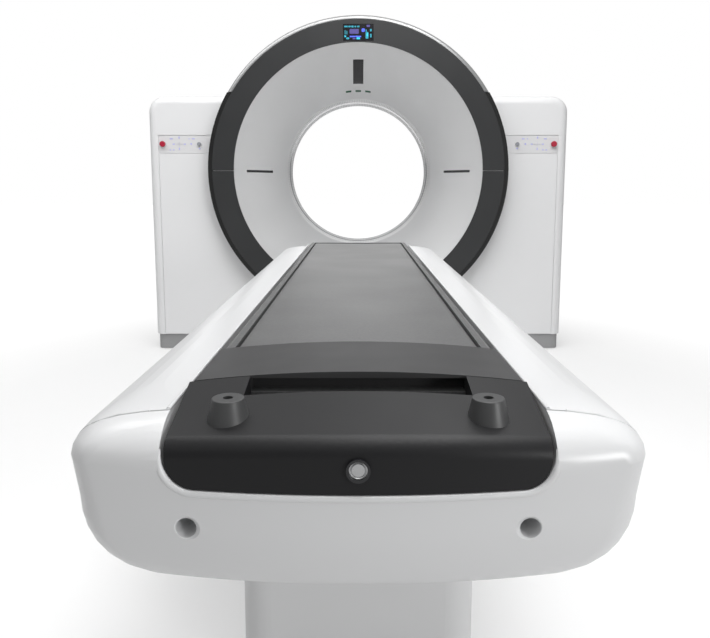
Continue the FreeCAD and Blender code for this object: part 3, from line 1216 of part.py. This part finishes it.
def pedestal_cover(label, inset, z):
    """A rounded rectangular sleeve about the pedestal."""

    def sleeve(name, grow):
        half = f"(pedestal_half - {inset} - {grow})"
        along = f"(pedestal_length / 2 - {inset} - {grow})"
        points = [(f"-{half}", f"-{along}"), (half, f"-{along}"), (half, along), (f"-{half}", along)]
        body = plate(name, "XY_Plane", points, z[0], z[1])
        bind(body, {"Placement.Base.y": PEDESTAL_Y})
        return rounded(body, f"pedestal_round - {inset} - {grow}", lambda e: upright(e, Vector(0, 0, 1)))

    piece(cut(label + "_cut", sleeve(label + "_outer", "0"), sleeve(label + "_inner", "skin")), label)


def write_parts():
    doc.recompute()
    failed = [o.Label for o in doc.Objects if {"Invalid", "Error"} & set(o.State)]
    if failed:
        raise RuntimeError(f"these objects failed: {failed}")
    for thing in PIECES:
        shape = thing.Shape
        if shape.isNull() or not shape.isValid() or not shape.Solids:
            raise RuntimeError(f"{thing.Label} has no valid solid")
    os.makedirs("parts", exist_ok=True)
    for thing in PIECES:
        thing.Shape.exportStep(f"parts/{thing.Label}.step")
    print(len(PIECES), "parts written")


ring_and_bore()
rims_and_top()
housings()
plinth_and_base()
control_strips()
rotor()
stator()
table_covers()
foot_console()
cradle()
frame_and_lift()
write_parts()
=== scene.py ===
import json
import math

import bmesh
import bpy
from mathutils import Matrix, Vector
from mathutils.bvhtree import BVHTree


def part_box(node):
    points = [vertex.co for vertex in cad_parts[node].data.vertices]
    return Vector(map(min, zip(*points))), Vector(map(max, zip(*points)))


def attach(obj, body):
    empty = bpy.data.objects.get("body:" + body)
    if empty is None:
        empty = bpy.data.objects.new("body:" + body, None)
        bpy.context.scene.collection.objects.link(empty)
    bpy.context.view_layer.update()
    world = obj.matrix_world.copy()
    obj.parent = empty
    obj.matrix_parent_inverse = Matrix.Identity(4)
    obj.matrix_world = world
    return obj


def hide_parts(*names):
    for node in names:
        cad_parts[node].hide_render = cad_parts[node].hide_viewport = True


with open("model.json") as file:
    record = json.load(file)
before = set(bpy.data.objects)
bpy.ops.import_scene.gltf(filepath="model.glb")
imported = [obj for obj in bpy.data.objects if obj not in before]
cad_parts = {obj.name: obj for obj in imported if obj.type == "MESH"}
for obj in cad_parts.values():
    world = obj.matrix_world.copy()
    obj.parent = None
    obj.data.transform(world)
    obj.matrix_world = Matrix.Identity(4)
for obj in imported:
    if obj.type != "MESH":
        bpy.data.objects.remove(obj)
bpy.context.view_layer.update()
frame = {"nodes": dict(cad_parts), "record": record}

NODES = frame["nodes"]

# Places in metres: +Y goes into the bore, +Z is up.
ISO = 1.025  # bore axis above the floor
RING = 0.9585  # front plane of the gantry
FOOT = -1.9685  # foremost point of the table
HEAD = 0.3635  # far end of the table's covers

WORLD_LOW, WORLD_HIGH = 0.1, 0.74  # light from the horizon and from overhead
FLOOR_GLOW = 0.5  # share of the floor's glow that lights the machine
FLOOR_NEAR, FLOOR_FAR = 0.6, 3.0  # the floor fades into the background between these
CAMERA_AWAY, CAMERA_HIGH, CAMERA_DIP = 3.6, 0.942, 7.22


# ------------------------------------------------------------ materials


class Paint:
    """A small helper that builds a node material around one principled shader."""

    def __init__(self, name, colour, rough, metal=0.0, coat=0.0, coat_rough=0.15, specular=0.5):
        self.mat = bpy.data.materials.new(name)
        self.mat.use_nodes = True
        self.tree = self.mat.node_tree
        self.shader = self.tree.nodes["Principled BSDF"]
        self.colour = colour
        self.rough = rough
        self.set("Base Color", (*colour, 1.0))
        self.set("Roughness", rough)
        self.set("Metallic", metal)
        self.set("Coat Weight", coat)
        self.set("Coat Roughness", coat_rough)
        self.set("Specular IOR Level", specular)
        self.coords = self.tree.nodes.new("ShaderNodeTexCoord").outputs["Object"]

    def set(self, socket, value):
        self.shader.inputs[socket].default_value = value
        return self

    def node(self, kind, **facts):
        made = self.tree.nodes.new(kind)
        for key, value in facts.items():
            setattr(made, key, value)
        return made

    def link(self, a, b):
        self.tree.links.new(a, b)

    def noise(self, scale, detail):
        noise = self.node("ShaderNodeTexNoise")
        noise.inputs["Scale"].default_value = scale
        noise.inputs["Detail"].default_value = detail
        self.link(self.coords, noise.inputs["Vector"])
        return noise.outputs["Fac"]

    def ramp(self, source, low, high, start, end):
        ramp = self.node("ShaderNodeValToRGB")
        first, last = ramp.color_ramp.elements
        first.position, last.position = start, end
        first.color = (*low, 1.0)
        last.color = (*high, 1.0)
        self.link(source, ramp.inputs["Fac"])
        return ramp.outputs["Color"]

    def mottle(self, scale, amount):
        """Slow, faint variation of the base colour."""
        low = tuple(c * (1 - amount) for c in self.colour)
        high = tuple(min(1.0, c * (1 + amount)) for c in self.colour)
        colour = self.ramp(self.noise(scale, 2.0), low, high, 0.2, 0.8)
        self.link(colour, self.shader.inputs["Base Color"])
        return self

    def smudge(self, scale, amount):
        """Uneven gloss, as handling and cleaning leave it."""
        low = (max(0.0, self.rough - amount),) * 3
        high = (min(1.0, self.rough + amount),) * 3
        rough = self.ramp(self.noise(scale, 1.5), low, high, 0.15, 0.85)
        self.link(rough, self.shader.inputs["Roughness"])
        return self

    def grain(self, scale, depth, strength):
        """A fine moulded texture."""
        bump = self.node("ShaderNodeBump")
        bump.inputs["Distance"].default_value = depth
        bump.inputs["Strength"].default_value = strength
        self.link(self.noise(scale, 2.0), bump.inputs["Height"])
        self.link(bump.outputs["Normal"], self.shader.inputs["Normal"])
        return self

    def turned(self, strength):
        """Circular brush marks about the bore, as on spun metal."""
        tangent = self.node("ShaderNodeTangent", direction_type="RADIAL", axis="Y")
        self.link(tangent.outputs["Tangent"], self.shader.inputs["Tangent"])
        return self.set("Anisotropic", strength)

    def about_bore(self):
        """The angle round the bore axis, as a socket."""
        split = self.node("ShaderNodeSeparateXYZ")
        self.link(self.coords, split.inputs["Vector"])
        up = self.node("ShaderNodeMath", operation="SUBTRACT")
        self.link(split.outputs["Z"], up.inputs[0])
        up.inputs[1].default_value = ISO
        angle = self.node("ShaderNodeMath", operation="ARCTAN2")
        self.link(split.outputs["X"], angle.inputs[0])
        self.link(up.outputs[0], angle.inputs[1])
        return angle.outputs[0]

    def ribs(self, count, low, high):
        """Fine stripes round the bore, lighter and darker in turn."""
        turns = self.node("ShaderNodeMath", operation="MULTIPLY")
        self.link(self.about_bore(), turns.inputs[0])
        turns.inputs[1].default_value = count
        wave = self.node("ShaderNodeMath", operation="SINE")
        self.link(turns.outputs[0], wave.inputs[0])
        self.link(self.ramp(wave.outputs[0], low, high, 0.0, 1.0), self.shader.inputs["Base Color"])
        return self

    def glow(self, colour, strength):
        self.set("Emission Color", (*colour, 1.0))
        return self.set("Emission Strength", strength)

    def speckle(self, scale, low, high):
        """A fine two-tone fleck, as in a carbon or moulded surface."""
        colour = self.ramp(self.noise(scale, 2.0), low, high, 0.3, 0.7)
        self.link(colour, self.shader.inputs["Base Color"])
        return self


def paints():
    """One finish for each material slot of the record."""
    white = Paint("cover_white", (0.8, 0.803, 0.81), 0.36, coat=0.2, coat_rough=0.3)
    table = Paint("table_white", (0.72, 0.724, 0.73), 0.3, coat=0.25, coat_rough=0.25)
    strip = Paint("strip_white", (0.74, 0.74, 0.75), 0.34)
    funnel = Paint("funnel_silver", (0.76, 0.762, 0.765), 0.38, metal=0.6)
    liner = Paint("liner_grey", (0.7, 0.705, 0.71), 0.38, coat=0.1)
    ring = Paint(
        "ring_dark", (0.029, 0.03, 0.031), 0.42, coat=0.05, coat_rough=0.35, specular=0.4,
    )
    rim = Paint("rim_grey", (0.42, 0.422, 0.425), 0.38, metal=0.7)
    cradle = Paint("cradle_grey", (0.1, 0.101, 0.102), 0.42, coat=0.2, coat_rough=0.35)
    pad = Paint("mattress_grey", (0.105, 0.105, 0.106), 0.42, coat=0.7, coat_rough=0.38)
    dark = Paint("end_dark", (0.047, 0.047, 0.048), 0.42, specular=0.4)
    console = Paint("console_dark", (0.012, 0.012, 0.013), 0.45, specular=0.28)
    made = {
        "cover_white": white.mottle(2.0, 0.006).smudge(3, 0.03),
        "table_white": table.mottle(2.0, 0.006).smudge(3, 0.03),
        "strip_white": strip.mottle(3, 0.01).smudge(15, 0.05).grain(700, 0.0001, 0.1),
        "funnel_silver": funnel.turned(0.8).mottle(2.0, 0.03).smudge(6, 0.04),
        "liner_grey": liner.ribs(
            260, (0.5, 0.505, 0.51), (0.78, 0.785, 0.79)
        ).smudge(10, 0.05),
        "ring_dark": ring.mottle(3, 0.05).smudge(10, 0.06).grain(900, 0.00012, 0.15),
        "rim_grey": rim.turned(0.5).mottle(3, 0.02).smudge(10, 0.05),
        "cradle_grey": cradle.speckle(
            260, (0.085, 0.086, 0.087), (0.125, 0.126, 0.127)
        ).smudge(10, 0.08),
        "mattress_grey": pad.speckle(
            230, (0.074, 0.074, 0.075), (0.104, 0.104, 0.105)
        ).smudge(5, 0.08),
        "end_dark": dark.mottle(5, 0.05).smudge(12, 0.05).grain(600, 0.0002, 0.25),
        "console_dark": console.mottle(5, 0.05).smudge(12, 0.05).grain(600, 0.0002, 0.2),
    }
    black = (0.01, 0.01, 0.012)
    steel = (0.5, 0.51, 0.52)
    # name: colour, roughness, metal, coat, size of the mottling, grain
    plain = {
        "beam_clear": ((0.6, 0.61, 0.63), 0.2, 0.0, 0.4, 4, 0),
        "trim_black": ((0.006, 0.006, 0.006), 0.42, 0.0, 0.0, 5, 900),
        "window_dark": (black, 0.12, 0.0, 0.5, 8, 0),
        "display_glass": (black, 0.14, 0.0, 0.4, 8, 0),
        "lamp_green": ((0.03, 0.1, 0.06), 0.2, 0.0, 0.3, 20, 0),
        "stop_red": ((0.42, 0.012, 0.04), 0.3, 0.0, 0.3, 40, 0),
        "hold_grey": ((0.3, 0.31, 0.34), 0.35, 0.0, 0.0, 40, 0),
        "plinth_grey": ((0.32, 0.322, 0.325), 0.5, 0.0, 0.0, 5, 700),
        "pedestal_grey": ((0.7, 0.703, 0.707), 0.5, 0.0, 0.0, 3, 700),
        "frame_steel": ((0.05, 0.052, 0.056), 0.5, 0.0, 0.0, 8, 500),
        "cabinet_steel": ((0.3, 0.305, 0.31), 0.45, 0.0, 0.0, 6, 600),
        "rotor_cast": ((0.55, 0.56, 0.57), 0.4, 1.0, 0.0, 8, 400),
        "race_steel": (steel, 0.25, 1.0, 0.0, 8, 0),
        "slip_brass": ((0.62, 0.42, 0.16), 0.25, 1.0, 0.0, 8, 0),
        "tube_steel": ((0.55, 0.55, 0.53), 0.4, 0.0, 0.0, 8, 600),
        "unit_grey": ((0.1, 0.102, 0.106), 0.45, 0.0, 0.0, 8, 600),
        "motor_grey": ((0.06, 0.062, 0.065), 0.45, 0.0, 0.0, 8, 500),
        "pulley_steel": (steel, 0.3, 1.0, 0.0, 20, 0),
        "belt_rubber": ((0.015, 0.015, 0.016), 0.65, 0.0, 0.0, 20, 400),
        "column_steel": (steel, 0.32, 1.0, 0.0, 8, 0),
        "guide_steel": (steel, 0.25, 1.0, 0.0, 20, 0),
        "rail_alu": ((0.6, 0.605, 0.61), 0.35, 0.9, 0.0, 10, 0),
        "post_dark": ((0.06, 0.061, 0.062), 0.42, 0.0, 0.0, 10, 600),
        "bezel_black": (black, 0.25, 0.0, 0.4, 30, 0),
        "release_silver": ((0.62, 0.625, 0.63), 0.3, 1.0, 0.0, 60, 0),
    }
    for name, (colour, rough, metal, coat, spots, grain) in plain.items():
        paint = Paint(name, colour, rough, metal=metal, coat=coat)
        paint.mottle(spots, 0.05).smudge(3 * spots, 0.06)
        made[name] = paint.grain(grain, 0.0002, 0.25) if grain else paint
    return made


MATERIALS = paints()
SLOT_OF = {s["node"]: s["material_slot"] for s in frame["record"]["subparts"]}
FINISH_OF = {**SLOT_OF, "foot_console": "console_dark"}
for name, obj in NODES.items():
    obj.data.materials.clear()
    obj.data.materials.append(MATERIALS[FINISH_OF[name]].mat)


def even_shading(names, crease=24):
    """Shades long faces evenly: patches are joined up to the creases, and larger faces lead."""
    for name in names:
        obj = NODES[name]
        weld = obj.modifiers.new("join_patches", "WELD")
        weld.merge_threshold = 0.00002
        split = obj.modifiers.new("keep_creases", "EDGE_SPLIT")
        split.split_angle = math.radians(crease)
        even = obj.modifiers.new("even_shading", "WEIGHTED_NORMAL")
        even.mode = "FACE_AREA"
        even.keep_sharp = True


even_shading(["foot_end_cover", "table_side_covers", "foot_console", "cradle", "cradle_end_block"])


# ------------------------------------------------------------ pieces


def add_piece(name, data, paint, body):
    """Puts a mesh or curve in the scene, in its paint, and has it ride a body."""
    obj = bpy.data.objects.new(name, data)
    bpy.context.scene.collection.objects.link(obj)
    data.materials.append(paint.mat)
    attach(obj, body)
    return obj


def bead(name, points, radii, slot, body):
    """A round bead along points, with a radius at each of them."""
    curve = bpy.data.curves.new(name, "CURVE")
    curve.dimensions = "3D"
    curve.bevel_depth = 1.0
    curve.bevel_resolution = 3
    curve.use_fill_caps = True
    spline = curve.splines.new("POLY")
    spline.points.add(len(points) - 1)
    for spot, place, radius in zip(spline.points, points, radii):
        spot.co = (*place, 1.0)
        spot.radius = radius
    add_piece(name, curve, MATERIALS[slot], body)


def plates(name, boxes, paint, y, thick=0.0004):
    """Small raised marks on an upright face.

    Each box is x, z, half width, half height and the share of the half that the corners take.
    """
    verts, faces = [], []
    sides = 16
    for x, z, half_x, half_z, share in boxes:
        corner = min(half_x, half_z) * share
        ring = []
        for k in range(sides):
            angle = 2 * math.pi * (k + 0.5) / sides
            across, up = math.cos(angle), math.sin(angle)
            side_x = math.copysign(half_x - corner, across)
            side_z = math.copysign(half_z - corner, up)
            ring.append((x + side_x + corner * across, z + side_z + corner * up))
        start = len(verts)
        back = start + sides
        verts += [(px, y, pz) for px, pz in ring] + [(px, y + thick, pz) for px, pz in ring]
        faces.append([start + k for k in range(sides)])
        faces.append([back + k for k in reversed(range(sides))])
        for k in range(sides):
            after = (k + 1) % sides
            faces.append([start + k, back + k, back + after, start + after])
    mesh = bpy.data.meshes.new(name)
    mesh.from_pydata(verts, [], faces)
    mesh.update()
    add_piece(name, mesh, paint, "base")


def mattress():
    """A thin foam pad in a smooth skin, with rounded edges and a shallow dish for the back."""
    low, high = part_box("mattress")
    half, length = high[0] - 0.0005, high[1] - low[1] - 0.001
    under, thick = low[2] + 0.0003, high[2] - low[2] - 0.0006
    edge, deepest = 0.007, 0.0012
    across, along = 40, 120
    mid_y = (low[1] + high[1]) / 2
    mesh = bmesh.new()

    def rim(distance):
        """Height share near an edge, as a quarter round."""
        inside = max(0.0, min(1.0, distance / edge))
        return math.sqrt(max(0.0, 1 - (1 - inside) ** 2))

    def spread(k, count, reach):
        """Places that crowd towards both edges."""
        share = 2 * k / count - 1
        return reach * math.copysign(1 - (1 - abs(share)) ** 1.6, share)

    grid = []
    for j in range(along + 1):
        y = spread(j, along, length / 2)
        row = []
        for k in range(across + 1):
            x = spread(k, across, half)
            lift = min(rim(half - abs(x)), rim(length / 2 - abs(y)))
            dish = deepest * (1 - (x / half) ** 2)
            z = under + thick * (0.45 + 0.55 * lift) - dish * lift
            row.append(mesh.verts.new((x, mid_y + y, z)))
        grid.append(row)
    for j in range(along):
        for k in range(across):
            corners = [grid[j][k], grid[j][k + 1], grid[j + 1][k + 1], grid[j + 1][k]]
            mesh.faces.new(corners)
    border = [grid[0][k] for k in range(across)]
    border += [grid[j][across] for j in range(along)]
    border += [grid[along][k] for k in range(across, 0, -1)]
    border += [grid[j][0] for j in range(along, 0, -1)]
    foot = [mesh.verts.new((v.co.x, v.co.y, under)) for v in border]
    count = len(border)
    for k in range(count):
        after = (k + 1) % count
        mesh.faces.new([border[after], border[k], foot[k], foot[after]])
    mesh.faces.new(foot[::-1])
    bmesh.ops.recalc_face_normals(mesh, faces=mesh.faces)
    data = bpy.data.meshes.new("mattress_pad")
    mesh.to_mesh(data)
    mesh.free()
    data.shade_smooth()
    slot = "mattress_grey"
    pad = add_piece("mattress_pad", data, MATERIALS[slot], "cradle_stage")
    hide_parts("mattress")


def surface_of(name):
    return BVHTree.FromObject(NODES[name], bpy.context.evaluated_depsgraph_get())


def table_lips():
    """The rounded edge of the cut-out in the foot end, and of the side rails beyond it."""
    tree = surface_of("foot_end_cover")
    half, floor, turn, top = 0.2218, 0.602, 0.036, 0.676
    beyond, sunk, thick = 0.0026, 0.0034, 0.0045
    corner_x, corner_z = half - turn, floor + turn
    outline = [(half, top - 0.002 - step * 0.0045) for step in range(8)]
    for degrees in range(0, 91, 9):
        angle = math.radians(degrees)
        outline.append((corner_x + turn * math.cos(angle), corner_z - turn * math.sin(angle)))
    outline += [(corner_x * (1 - step / 10), floor) for step in range(1, 11)]
    points = []
    for x, z in outline:
        out = Vector((x - half + turn, 0, z - floor - turn))
        out = Vector((1, 0, 0)) if z > corner_z else out.normalized()
        if x < corner_x:
            out = Vector((0, 0, -1))
        place = Vector((x, 0, z)) + out * beyond
        start = Vector((place.x, FOOT - 0.2, place.z))
        hit = tree.ray_cast(start, Vector((0, 1, 0)))[0]
        if hit is not None:
            points.append(Vector((place.x, hit.y + sunk, place.z)))
    loop = [Vector((-p.x, p.y, p.z)) for p in points] + [p for p in reversed(points[:-1])]
    ends = [min(k, len(loop) - 1 - k) for k in range(len(loop))]
    radii = [min(thick, 0.001 + 0.0008 * k) for k in ends]
    bead("foot_opening_lip", loop, radii, "table_white", "lift_stage")
    rail_x, rail_z, rail_radius = 0.228 + 0.0022, top - 0.0022, 0.0027
    seam_y, head_y = FOOT + 0.084, HEAD - 0.03
    steps = [seam_y + 0.003 + (head_y - seam_y) * k / 12 for k in range(13)]
    for side, name in ((-1, "left"), (1, "right")):
        stretch = [Vector((side * rail_x, y, rail_z)) for y in steps]
        bead(f"rail_edge_{name}", stretch, [rail_radius] * 13, "table_white", "lift_stage")


def seam_gasket():
    """The pale strip in the joint between the foot and side covers, a little under the surface."""
    tree = surface_of("table_side_covers")
    seam_y, probe, under, radius = FOOT + 0.0855, 0.006, 0.0026, 0.0019
    middle_z, rail_outside = 0.6, 0.2395
    middle = Vector((0, seam_y + probe, middle_z))
    points = []
    for step in range(97):
        angle = math.radians(-52 + step * 284 / 96)
        out = Vector((math.cos(angle), 0, math.sin(angle)))
        hit = tree.ray_cast(middle + out * 0.6, -out)[0]
        if hit is not None and (hit - middle).length > 0.1 and abs(hit.x) > rail_outside:
            place = hit - out * under
            points.append(Vector((place.x, seam_y, place.z)))
    for side, name in ((-1, "left"), (1, "right")):
        run = [p for p in points if p.x * side > 0]
        run.sort(key=lambda p: math.atan2(p.z - middle_z, abs(p.x)))
        if len(run) > 3:
            bead(f"seam_gasket_{name}", run, [radius] * len(run), "table_white", "lift_stage")


# Centre and half sizes of the key symbols in millimetres, from the left strip's middle line.
KEY_SYMBOLS = (
    (1047, 29, 9, 3), (1003, 36, 3, 7), (1034, 0, 7, 3), (972, 0, 7, 3),
    (1003, -26, 3, 7), (947, 29, 3, 3), (923, 29, 8, 3), (936, 1, 5, 5),
    (1054, -32, 5, 3), (1035, -32, 5, 3), (890, -24, 5, 4),
)


def legends():
    """Pale key symbols on the two control strips: arrows, dots and bars."""
    violet = Paint("legend_violet", (0.52, 0.52, 0.86), 0.5).mottle(60, 0.03)
    face_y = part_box("control_strips")[0][1] - 0.0004
    strip_z, cross_x = 1.175, 1.003
    for side, name in ((-1, "left"), (1, "right")):
        marks = [
            (side * x / 1000, strip_z + z / 1000, wide / 1000, tall / 1000, 0.9)
            for x, z, wide, tall in KEY_SYMBOLS
        ]
        plates(f"key_symbols_{name}", marks, violet, face_y)
        pale = Paint(f"legend_pale_{name}", (0.66, 0.66, 0.74), 0.5).mottle(60, 0.03)
        upright = (side * cross_x, strip_z, 0.0012, 0.014, 0.5)
        level = (side * cross_x, strip_z, 0.02, 0.0012, 0.5)
        plates(f"key_cross_{name}", [upright, level], pale, face_y)


# The display's marks by colour: colour, glow, then centre and half sizes as shares of the picture.
SCREEN_MARKS = {
    "teal": ((0.02, 0.3, 0.4), 0.9, (
        (0.08, 0.88, 0.06, 0.05), (0.2, 0.88, 0.04, 0.05), (0.3, 0.88, 0.04, 0.06),
        (0.4, 0.88, 0.03, 0.05), (0.5, 0.88, 0.04, 0.05), (0.05, 0.5, 0.012, 0.14),
        (0.11, 0.48, 0.012, 0.12), (0.05, 0.24, 0.035, 0.07), (0.14, 0.1, 0.05, 0.06),
        (0.93, 0.64, 0.03, 0.08), (0.93, 0.28, 0.025, 0.12), (0.8, 0.3, 0.05, 0.22),
        (0.77, 0.56, 0.016, 0.12),
    )),
    "cyan": ((0.03, 0.55, 0.75), 1.0, (
        (0.5, 0.1, 0.06, 0.06), (0.81, 0.34, 0.022, 0.1), (0.06, 0.22, 0.015, 0.03),
    )),
    "blue": ((0.08, 0.13, 0.9), 1.0, (
        (0.3, 0.22, 0.09, 0.045), (0.5, 0.22, 0.1, 0.045), (0.67, 0.64, 0.055, 0.11),
    )),
    "violet": ((0.1, 0.08, 0.32), 0.5, (
        (0.84, 0.92, 0.06, 0.07), (0.36, 0.56, 0.16, 0.16), (0.36, 0.08, 0.05, 0.05),
    )),
}


def display_picture():
    """Generic bars and dots on the gantry display."""
    front_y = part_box("gantry_display")[0][1] - 0.0006
    left, bottom = -0.078, ISO + 0.692
    wide, tall = 0.156, 0.078
    for layer, (shade, (colour, strength, marks)) in enumerate(SCREEN_MARKS.items()):
        paint = Paint(f"screen_{shade}", tuple(c * 0.5 for c in colour), 0.4)
        paint.mottle(80, 0.2).glow(colour, strength)
        boxes = [
            (left + u * wide, bottom + v * tall, half_u * wide, half_v * tall, 0.5)
            for u, v, half_u, half_v in marks
        ]
        y = front_y - 0.0001 * layer
        plates(f"screen_marks_{shade}", boxes, paint, y, 0.0003)


mattress()
table_lips()
seam_gasket()
legends()
display_picture()


# ------------------------------------------------------------ studio


def studio_floor():
    """A pale floor that brightens into the plain background away from the machine."""
    reach = 30
    corners = [(-reach, -reach, 0), (reach, -reach, 0), (reach, reach, 0), (-reach, reach, 0)]
    data = bpy.data.meshes.new("floor")
    data.from_pydata(corners, [], [(0, 1, 2, 3)])
    floor = bpy.data.objects.new("floor", data)
    bpy.context.scene.collection.objects.link(floor)
    pale, dark, white = (0.88, 0.88, 0.88), (0.02, 0.02, 0.02), (1.0, 1.0, 1.0, 1.0)
    paint = Paint("studio_floor", pale, 0.6)
    away = paint.node("ShaderNodeVectorMath", operation="LENGTH")
    paint.link(paint.coords, away.inputs[0])
    fade = paint.node("ShaderNodeMapRange", interpolation_type="SMOOTHSTEP")
    fade.inputs["From Min"].default_value = FLOOR_NEAR
    fade.inputs["From Max"].default_value = FLOOR_FAR
    paint.link(away.outputs["Value"], fade.inputs["Value"])
    colour = paint.ramp(fade.outputs["Result"], pale, dark, 0.0, 1.0)
    paint.link(colour, paint.shader.inputs["Base Color"])
    paint.set("Emission Color", white)
    seen = paint.node("ShaderNodeMapRange")
    seen.inputs["To Min"].default_value = FLOOR_GLOW
    seen.inputs["To Max"].default_value = 1.0
    rays = paint.node("ShaderNodeLightPath")
    paint.link(rays.outputs["Is Camera Ray"], seen.inputs["Value"])
    shine = paint.node("ShaderNodeMath", operation="MULTIPLY")
    paint.link(fade.outputs["Result"], shine.inputs[0])
    paint.link(seen.outputs["Result"], shine.inputs[1])
    paint.link(shine.outputs[0], paint.shader.inputs["Emission Strength"])
    data.materials.append(paint.mat)


def studio_world():
    """A white background. As light it is dim at the horizon and brighter overhead."""
    world = bpy.data.worlds.new("studio")
    bpy.context.scene.world = world
    world.use_nodes = True
    tree = world.node_tree
    sky = tree.nodes["Background"]
    white = tree.nodes.new("ShaderNodeBackground")
    white.inputs["Color"].default_value = (1.0, 1.0, 1.0, 1.0)
    direction = tree.nodes.new("ShaderNodeTexCoord")
    split = tree.nodes.new("ShaderNodeSeparateXYZ")
    tree.links.new(direction.outputs["Generated"], split.inputs["Vector"])
    ramp = tree.nodes.new("ShaderNodeMapRange")
    ramp.interpolation_type = "SMOOTHSTEP"
    ramp.inputs["From Min"].default_value = 0.0
    ramp.inputs["From Max"].default_value = 1.0
    ramp.inputs["To Min"].default_value = WORLD_LOW
    ramp.inputs["To Max"].default_value = WORLD_HIGH
    tree.links.new(split.outputs["Z"], ramp.inputs["Value"])
    sky.inputs["Color"].default_value = (1.0, 1.0, 1.0, 1.0)
    tree.links.new(ramp.outputs["Result"], sky.inputs["Strength"])
    rays = tree.nodes.new("ShaderNodeLightPath")
    mix = tree.nodes.new("ShaderNodeMixShader")
    tree.links.new(rays.outputs["Is Camera Ray"], mix.inputs["Fac"])
    tree.links.new(sky.outputs["Background"], mix.inputs[1])
    tree.links.new(white.outputs["Background"], mix.inputs[2])
    tree.links.new(mix.outputs["Shader"], tree.nodes["World Output"].inputs["Surface"])


def softbox(name, place, target, power, size, spread=180):
    data = bpy.data.lights.new(name, "AREA")
    data.shape = "RECTANGLE"
    data.size, data.size_y = size
    data.energy = power
    data.spread = math.radians(spread)
    lamp = bpy.data.objects.new(name, data)
    lamp.location = place
    lamp.visible_camera = False
    lamp.rotation_euler = (Vector(target) - Vector(place)).to_track_quat("-Z", "Y").to_euler()
    bpy.context.scene.collection.objects.link(lamp)


def build_camera():
    data = bpy.data.cameras.new("camera")
    data.sensor_width = 36.0
    data.lens = 32.96
    data.shift_x = -0.0046
    data.shift_y = -0.0713
    data.clip_end = 100
    camera = bpy.data.objects.new("camera", data)
    camera.location = (0.0, RING - CAMERA_AWAY, CAMERA_HIGH)
    camera.rotation_euler = (math.radians(90 - CAMERA_DIP), 0, 0)
    bpy.context.scene.collection.objects.link(camera)
    bpy.context.scene.camera = camera


studio_floor()
studio_world()
softbox("gantry_softbox", (-0.9, -0.5, 3.5), (-0.1, 1.2, 0.9), 65, (4.5, 1.6))
softbox("table_softbox", (0.5, -1.3, 3.0), (0.1, -1.25, 0.0), 42, (3.4, 1.2))
softbox("right_softbox", (2.6, -4.0, 1.1), (0.15, -1.9, 0.55), 6.5, (1.2, 1.0), 70)
softbox("back_softbox", (0.0, 3.8, 1.6), (0.0, 0.0, 0.66), 5.5, (1.8, 1.0))
build_camera()
scene = bpy.context.scene
scene.view_settings.view_transform = "Standard"
